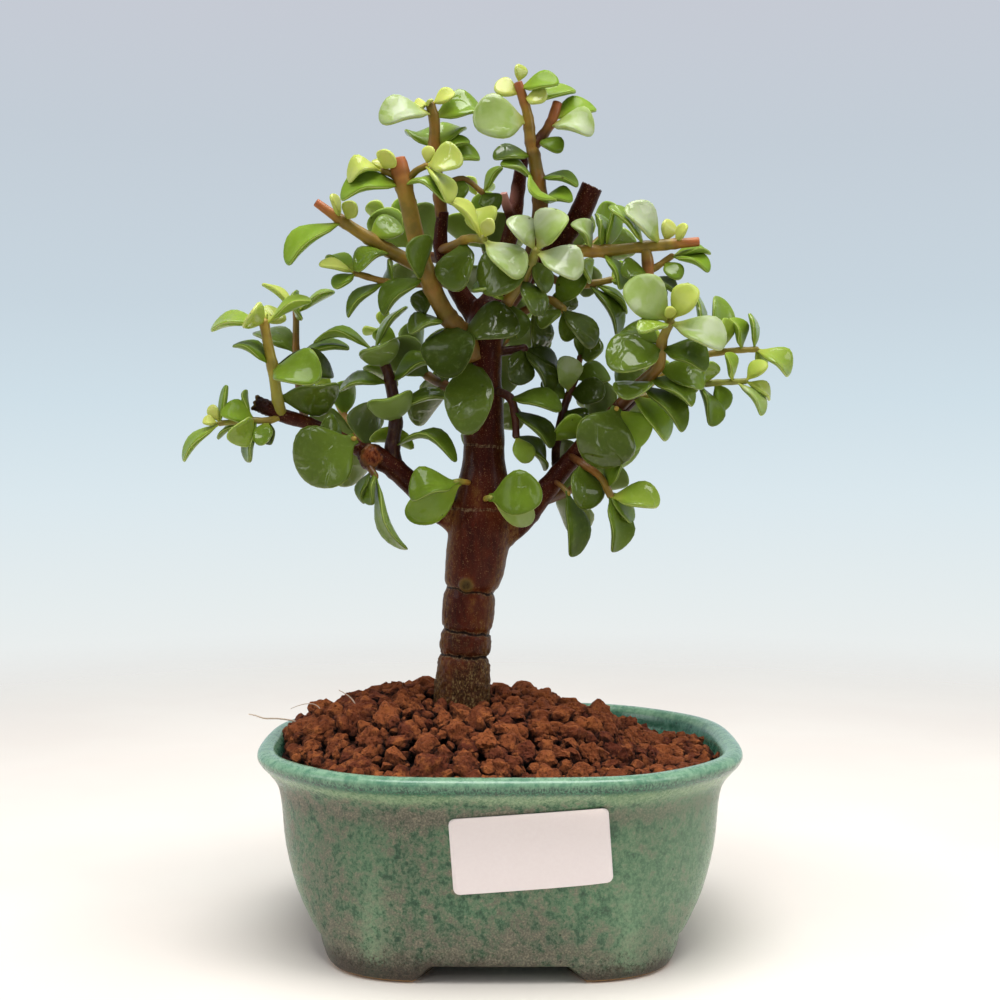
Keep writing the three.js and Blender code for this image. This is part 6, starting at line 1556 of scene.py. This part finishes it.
def blank_width(x):
    """The blank's width at a share of its length: a narrow stalk, then a blade widest past half way."""
    if x <= 0:
        return 0.15
    wide = math.sin(math.pi * min(x, 1) ** 1.42) ** (0.86 - 0.42 * x) if x < 1 else 0
    stalk = 0.15 * (1 - x)
    return (wide**3 + stalk**3) ** (1 / 3)


def leaf_blank():
    """A closed blade with a faint dip along its middle. Its values say where on it a point lies."""
    rings = []
    for x in BLANK_STATIONS:
        width = blank_width(x)
        thick = (0.62 + 0.38 * math.sin(math.pi * min(1, max(0, x)))) * min(1, width / 0.5) ** 0.6
        ring = []
        for k in range(BLANK_SIDES):
            turn = math.tau * k / BLANK_SIDES
            u = math.copysign(abs(math.cos(turn)) ** 0.62, math.cos(turn))
            v = math.copysign(abs(math.sin(turn)) ** 0.75, math.sin(turn)) if k % (BLANK_SIDES // 2) else 0
            z = 0.5 * thick * v
            if v > 0:
                z -= 0.14 * thick * math.exp(-((u / 0.35) ** 2)) * (1 - max(0, x))
            ring.append((x, 0.5 * width * u, z, abs(u), 0.5 + 0.5 * v))
        rings.append(ring[::-1])
    points = np.vstack(rings)
    mesh = new_mesh("leaf_blank", points[:, :3], loft([points[:BLANK_SIDES]] * len(rings), closed=True))
    for name, values in (("along", np.maximum(points[:, 0], 0)), ("across", points[:, 3]),
                         ("sideways", points[:, 1]), ("upper", points[:, 4])):
        set_values(mesh, name, values)
    return mesh


blank = new_object("leaf_blank", leaf_blank())

tree = bpy.data.node_groups.new("leaves_on_stems", "GeometryNodeTree")
LEAF_INPUTS = [
    ("Feet", "Geometry"), ("Blank", "Object"), ("Stems", "Object"), ("Ripple", "Float"),
    ("Ripple scale", "Float"), ("Skin", "Material"),
]
leaf_sockets, given = open_tree(tree, LEAF_INPUTS)


def carried(name, kind="FLOAT"):
    """What each point carries under a name."""
    return add_node(tree, "GeometryNodeInputNamedAttribute", {"Name": name}, data_type=kind).outputs[0]


blank_info = add_node(tree, "GeometryNodeObjectInfo", {"Object": given["Blank"], "As Instance": True})
turned = add_node(tree, "FunctionNodeEulerToRotation", {0: carried("turn", "FLOAT_VECTOR")}).outputs[0]
placed = add_node(tree, "GeometryNodeInstanceOnPoints", {
    "Points": given["Feet"], "Instance": blank_info.outputs["Geometry"],
    "Rotation": turned, "Scale": carried("size", "FLOAT_VECTOR")})
real = add_node(tree, "GeometryNodeRealizeInstances", {0: placed.outputs[0]}).outputs[0]
along = carried("along")
arched = times(tree, carried("arch"), calculate(tree, "SINE", times(tree, along, math.pi)))
aslant = times(tree, carried("sideways"), 2.0)
cupped = times(tree, carried("cup"), times(tree, aslant, aslant))
cupped = times(tree, cupped, calculate(tree, "SQRT", along))
past = calculate(tree, "MAXIMUM", calculate(tree, "SUBTRACT", along, 0.5), 0.0)
curled = times(tree, carried("curl"), times(tree, past, past))
here = add_node(tree, "GeometryNodeInputPosition").outputs[0]
waves = add_node(tree, "ShaderNodeTexNoise", {"Vector": here, "Scale": given["Ripple scale"], "Detail": 1.0})
rippled = times(tree, calculate(tree, "SUBTRACT", waves.outputs["Fac"], 0.5), given["Ripple"])
rippled = times(tree, rippled, along)
lift = calculate(tree, "ADD", calculate(tree, "ADD", arched, cupped), calculate(tree, "ADD", curled, rippled))
offset = add_node(tree, "ShaderNodeVectorMath", {0: carried("up", "FLOAT_VECTOR"), "Scale": lift},
                  operation="SCALE").outputs[0]
broader = calculate(tree, "EXPONENT", times(tree, along, -5.5))
opened = calculate(tree, "MINIMUM", calculate(tree, "MULTIPLY_ADD", along, 9.0, 0.15), 1.0)
flared = times(tree, times(tree, carried("sideways"), broader), carried("neck"))
flared = times(tree, flared, opened)
aside = add_node(tree, "ShaderNodeVectorMath", {0: carried("side", "FLOAT_VECTOR"), "Scale": flared},
                 operation="SCALE").outputs[0]
moved = add_node(tree, "ShaderNodeVectorMath", {0: offset, 1: aside}, operation="ADD").outputs[0]
shaped = add_node(tree, "GeometryNodeSetPosition", {"Geometry": real, "Offset": moved})
skinned = add_node(tree, "GeometryNodeSetMaterial",
                   {"Geometry": shaped.outputs[0], "Material": given["Skin"]})
stem_info = add_node(tree, "GeometryNodeObjectInfo", {"Object": given["Stems"]}).outputs["Geometry"]
whole = add_node(tree, "GeometryNodeJoinGeometry", {0: skinned.outputs[0]})
tree.links.new(stem_info, whole.inputs[0])
smooth = add_node(tree, "GeometryNodeSetShadeSmooth", {"Geometry": whole.outputs[0]})
add_node(tree, "NodeGroupOutput", {0: smooth.outputs[0]})
leaf_tree = tree

leaf_skin, tree, shader = new_material(
    "leaf_skin", Subsurface_Weight=0.15, Subsurface_Radius=(0.6, 1.0, 0.2), Subsurface_Scale=0.0012,
    Coat_Roughness=0.06, IOR=1.4, Specular_IOR_Level=0.08)
place = object_place(tree)
youth = read_value(tree, "youth")
hue = read_value(tree, "hue")
broad = speckle(tree, place, 160, detail=3)
fine = speckle(tree, place, 900, detail=4, roughness=0.6)
age = calculate(tree, "ADD", youth, calculate(tree, "MULTIPLY_ADD", broad, 0.22, -0.11), clamp=True)
LEAF_TONES = [
    (0.0, "#242e08"), (0.2, "#32400b"), (0.4, "#516617"), (0.6, "#728f23"), (0.8, "#98ab40"),
    (1.0, "#c5ca66"),
]
tone = colour_steps(tree, age, LEAF_TONES)
tone = mix_colours(tree, times(tree, hue, 0.2), tone, "#788836")
# Half-grown leaves carry a pale waxy bloom, which comes and goes between these ages
BLOOM_COMES = (0.71, 0.75)
BLOOM_GOES = (0.79, 0.83)
bloom = times(tree, rescale(tree, youth, *BLOOM_COMES), rescale(tree, youth, *BLOOM_GOES, 1.0, 0.0))
pool = rescale(tree, speckle(tree, place, 130, detail=1.5, distortion=0.6), 0.46, 0.53)
dusted = times(tree, bloom, rescale(tree, broad, 0.35, 0.62, 0.45, 1.0))
dusted = times(tree, dusted, calculate(tree, "MULTIPLY_ADD", pool, -0.6, 1.0))
tone = mix_colours(tree, times(tree, bloom, 0.4), tone, "#69882f")
tone = mix_colours(tree, dusted, tone, "#a8b38c")
under = rescale(tree, read_value(tree, "upper"), 0.15, 0.45, 0.5, 0.0)
below = mix_colours(tree, rescale(tree, age, 0.5, 0.75), "#7e8f55", "#8fae3c")
tone = mix_colours(tree, under, tone, below)
tone = mix_colours(tree, times(tree, rescale(tree, fine, 0.5, 0.7), 0.06), tone, "#a9bd77")
rim = rescale(tree, read_value(tree, "across"), 0.965, 1.0)
rim = times(tree, rim, rescale(tree, read_value(tree, "along"), 0.1, 0.3))
young = rescale(tree, age, 0.2, 0.7, 0.2, 0.8)
tone = mix_colours(tree, times(tree, rim, young), tone, "#c3cd76")
neck = rescale(tree, read_value(tree, "along"), 0.02, 0.34, 1.0, 0.0)
neck = times(tree, neck, rescale(tree, age, 0.45, 0.85, 0.0, 0.8))
tone = mix_colours(tree, neck, tone, "#b4b84a")
spots = times(tree, dots(tree, place, 300, 0.06, 0.13), rescale(tree, broad, 0.58, 0.64, 0.0, 0.75))
tone = mix_colours(tree, spots, tone, "#33280f")
feed(tree, shader, Base_Color=tone)
feed(tree, shader, Roughness=rescale(tree, fine, 0.3, 0.7, 0.3, 0.5))
creases = speckle(tree, place, 380, detail=2.5, roughness=0.55, distortion=1.4)
wet = times(tree, rescale(tree, read_value(tree, "along"), 0.2, 0.6), rescale(tree, hue, 0.35, 0.7))
film = calculate(tree, "MULTIPLY_ADD", creases, calculate(tree, "MULTIPLY_ADD", pool, 0.3, 0.02), pool)
film = times(tree, film, calculate(tree, "MULTIPLY_ADD", wet, 1.0, 0.05))
give_relief(tree, shader, calculate(tree, "MULTIPLY_ADD", film, 0.2, times(tree, fine, 0.12)), 0.0004, 0.5)
feed(tree, shader, Coat_Weight=calculate(tree, "MULTIPLY_ADD", wet, 0.6, 0.1))
ripples = add_node(tree, "ShaderNodeBump", {"Height": film, "Distance": 0.0005, "Strength": 0.8})
tree.links.new(ripples.outputs[0], shader.inputs["Coat Normal"])

stem_skin, tree, shader = new_material(
    "stem_skin", Coat_Weight=0.12, Coat_Roughness=0.2, Specular_IOR_Level=0.3)
place = object_place(tree)
ripe = read_value(tree, "tone")
broad = speckle(tree, place, 190, detail=3)
fine = speckle(tree, object_place(tree, stretch=(1, 1, 0.4)), 1200, detail=4, roughness=0.65)
shade = calculate(tree, "ADD", ripe, calculate(tree, "MULTIPLY_ADD", broad, 0.36, -0.18), clamp=True)
STEM_TONES = [(0.0, "#2a0906"), (0.2, "#45150b"), (0.4, "#623915"), (0.55, "#80611e"), (0.7, "#ab8c34"),
              (0.85, "#8f9035"), (1.0, "#9aa040")]
tone = colour_steps(tree, shade, STEM_TONES)
blushing = times(tree, rescale(tree, broad, 0.52, 0.7), rescale(tree, ripe, 0.3, 0.5, 0.0, 0.4))
tone = mix_colours(tree, blushing, tone, "#93491f")
paler = times(tree, rescale(tree, fine, 0.45, 0.7), 0.14)
tone = mix_colours(tree, paler, tone, "#ab8a4a")
greener = times(tree, rescale(tree, broad, 0.5, 0.38), rescale(tree, ripe, 0.3, 0.5, 0.0, 0.35))
tone = mix_colours(tree, greener, tone, "#76742a")
tone = mix_colours(tree, times(tree, read_value(tree, "flush"), 0.8), tone, "#b45a38")
tone = mix_colours(tree, times(tree, read_value(tree, "ring"), 0.32), tone, "#3a1a10")
cut = mix_colours(tree, rescale(tree, fine, 0.4, 0.65), "#c98a66", "#8a4a30")
tone = mix_colours(tree, read_value(tree, "cut"), tone, cut)
feed(tree, shader, Base_Color=tone)
feed(tree, shader, Roughness=rescale(tree, fine, 0.3, 0.7, 0.32, 0.55))
give_relief(tree, shader, fine, 0.00012, 0.5)

# How ripe each shoot's stems are, from maroon (0) by brown to green (1), at the foot and at the tip
RIPENESS = {
    "shoot_far_left": (0.75, 0.85), "shoot_left_front": (0.85, 0.7), "shoot_left_back": (0.42, 0.5),
    "shoot_left_inner": (0.02, 0.26), "shoot_tall_left": (0.5, 0.66), "shoot_left_stub": (0.6, 0.62),
    "shoot_top_left": (0.42, 0.6), "shoot_top": (0.25, 0.68), "shoot_right_high": (0.64, 0.7),
    "shoot_right_rosette": (0.3, 0.85), "shoot_right_upper_tip": (0.6, 0.8),
    "shoot_right_lower_tip": (0.75, 1.0), "shoot_right_middle": (0.4, 0.7),
    "shoot_inner_right": (0.05, 0.35), "shoot_front": (0.4, 0.9), "shoot_centre": (0.3, 0.95),
    "leaves_crotch_left": (0.4, 0.95), "leaves_crotch_right": (0.4, 0.95), "leaves_trunk_right": (0.1, 0.2),
    "leaves_trunk_upper": (0.1, 0.2), "leaves_left_knob": (0.15, 0.5), "leaves_left_limb": (0.2, 0.7),
}
# Stems that end in a pruning cut, by shoot and number of the stem, and how far they are flushed red
CUT_STEMS = {
    "shoot_tall_left": (0,), "shoot_left_stub": (0,), "shoot_top": (0, 1), "shoot_right_high": (0, 1),
}
CUT_FLUSH = 7
# Short stems that hardly show, and how thick they are beside the model's own
SLIGHT_PEGS = ("leaves_crotch_left", "leaves_crotch_right", "leaves_left_knob", "leaves_left_limb",
               "leaves_right_limb", "leaves_right_crotch")
PEG_GIRTH = 0.6
NODE_SWELL = 0.16
# How a stem ends, as lengths ahead of its end and shares of its girth: in a bud, whose lengths are in
# radii, or sawn flat, in millimetres
BUD_END = ((0.4, 0.88), (0.8, 0.55), (1, 0.15))
CUT_END = ((0.2, 0.98), (0.3, 0.82), (0.12, 0.4))


def stem_piece(name, stems, leaves):
    """The stems of a shoot as closed tubes that swell at each node and end in a bud or a cut."""
    parts, tone, ring, cut, flush = [], [], [], [], []
    foot_tone, tip_tone = RIPENESS.get(name, (0.25, 0.7))
    for number, stem in enumerate(stems):
        run = smoothed(stem, 1.2)
        is_cut = number in CUT_STEMS.get(name, ())
        ahead = (Vector(run[-1][:3]) - Vector(run[-2][:3])).normalized()
        end, radius = Vector(run[-1][:3]), run[-1][3]
        if is_cut:
            run += [[*(end + ahead * out), radius * girth] for out, girth in CUT_END]
        else:
            run += [[*(end + ahead * radius * out), radius * girth] for out, girth in BUD_END]
        nodes = [nearest([stem], leaf["foot"])[0] for leaf in leaves]
        slimmer = PEG_GIRTH if name in SLIGHT_PEGS else 1
        swelled = []
        for k, station in enumerate(run):
            here = Vector(station[:3])
            near = min([(here - place).length for place in nodes] + [99])
            swell = math.exp(-((near / 0.9) ** 2))
            share = min(1, k / (len(run) - 3))
            swelled.append([*station[:3], station[3] * (1 + NODE_SWELL * swell) * slimmer])
            tone += [foot_tone + (tip_tone - foot_tone) * share] * STEM_SIDES
            ring += [math.exp(-((near / 0.4) ** 2))] * STEM_SIDES
            cut += [1.0 if is_cut and k >= len(run) - 2 else 0.0] * STEM_SIDES
            from_end = (here - end).length
            flush += [max(0, 1 - from_end / CUT_FLUSH) ** 0.5 if is_cut else 0.0] * STEM_SIDES
        parts.append(tube(swelled, STEM_SIDES))
    points, faces = join_solids(parts)
    mesh = new_mesh("stems", in_place(points), faces)
    for key, values in (("tone", tone), ("ring", ring), ("cut", cut), ("flush", flush)):
        set_values(mesh, key, values)
    return new_object("stems", mesh, stem_skin)


# Thickness of a leaf: at the least, and more for each millimetre of its width
LEAF_THICKNESS = (1.1, 0.085)
# What each leaf carries: how it is turned and sized, and which way is up and sideways
LEAF_VECTORS = ("turn", "size", "up", "side")
LEAF_NUMBERS = ("arch", "cup", "curl", "neck", "youth", "hue")
FIRST_LEAF_SEED = 100
RIPPLE = 0.0009
RIPPLE_SCALE = 170.0
# Leaves from this height up are painted lighter, as if they stood in more light: their youth is raised by up
# to a share, over some height
BRIGHT_FROM = 150
BRIGHT_SPAN = 35
BRIGHTER = 0.14


def leaf_feet(leaves, seed):
    """One point for each leaf, with what the leaf tree needs to shape it."""
    draw = np.random.default_rng(seed)
    values = {name: [] for name in (*LEAF_VECTORS, *LEAF_NUMBERS)}
    for leaf in leaves:
        axis = leaf["tip"] - leaf["foot"]
        length = axis.length
        axis.normalize()
        up = (leaf["face"] - axis * leaf["face"].dot(axis)).normalized()
        side = up.cross(axis)
        turn = Matrix((axis, side, up)).transposed().to_euler()
        width = leaf["width"]
        thick = (LEAF_THICKNESS[0] + LEAF_THICKNESS[1] * width) * (0.92 + 0.16 * draw.random())
        values["turn"].append(tuple(turn))
        values["size"].append((length * MM, width * MM, thick * MM))
        values["up"].append(tuple(up))
        values["side"].append(tuple(side))
        values["neck"].append(width * MM * 1.7 * min(1, max(0, (0.86 - leaf["youth"]) / 0.3)))
        values["arch"].append(leaf["arch"] * length * MM)
        values["cup"].append(width * MM * (0.1 + 0.2 * draw.random()))
        values["curl"].append(length * MM * (draw.random() - 0.7) * 0.6)
        # Painted light: leaves high in the crown are given a younger, paler tone.
        higher = min(1, max(0, (leaf["tip"].z - BRIGHT_FROM) / BRIGHT_SPAN))
        values["youth"].append(leaf["youth"] + (BRIGHTER * higher if leaf["youth"] < 0.55 else 0))
        values["hue"].append(draw.random())
    mesh = new_mesh("feet", in_place([leaf["foot"] for leaf in leaves]), [])
    for name, held_values in values.items():
        kind = "FLOAT_VECTOR" if name in LEAF_VECTORS else "FLOAT"
        set_values(mesh, name, held_values, kind)
    return mesh


shoots = {name: drawn_shoot(drawn["stems"], drawn["leaves"]) for name, drawn in SHOOTS.items()}
for number, (name, (foot, tip, pairs)) in enumerate(BACK_SHOOTS.items()):
    shoots[name] = grown_shoot(foot, tip, pairs, FIRST_BACK_SEED + number)
for number, (name, (stems, leaves)) in enumerate(shoots.items()):
    solid = frame["nodes"][name].data.vertices
    solid_points = KDTree(len(solid))
    for k, vertex in enumerate(solid):
        solid_points.insert(vertex.co, k)
    solid_points.balance()
    leaves = [settled(leaf, solid_points) for leaf in leaves]
    stem_object = stem_piece(name, stems, leaves)
    shoot = new_object("living_" + name, leaf_feet(leaves, FIRST_LEAF_SEED + number))
    grow = shoot.modifiers.new("leaves", "NODES")
    grow.node_group = leaf_tree
    set_inputs(grow, leaf_sockets, Blank=blank, Stems=stem_object, Ripple=RIPPLE,
               Ripple_scale=RIPPLE_SCALE, Skin=leaf_skin)
    plain_mesh(shoot)
    bpy.data.objects.remove(stem_object)
    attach(shoot, "root")
    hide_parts(name)
bpy.data.objects.remove(blank)
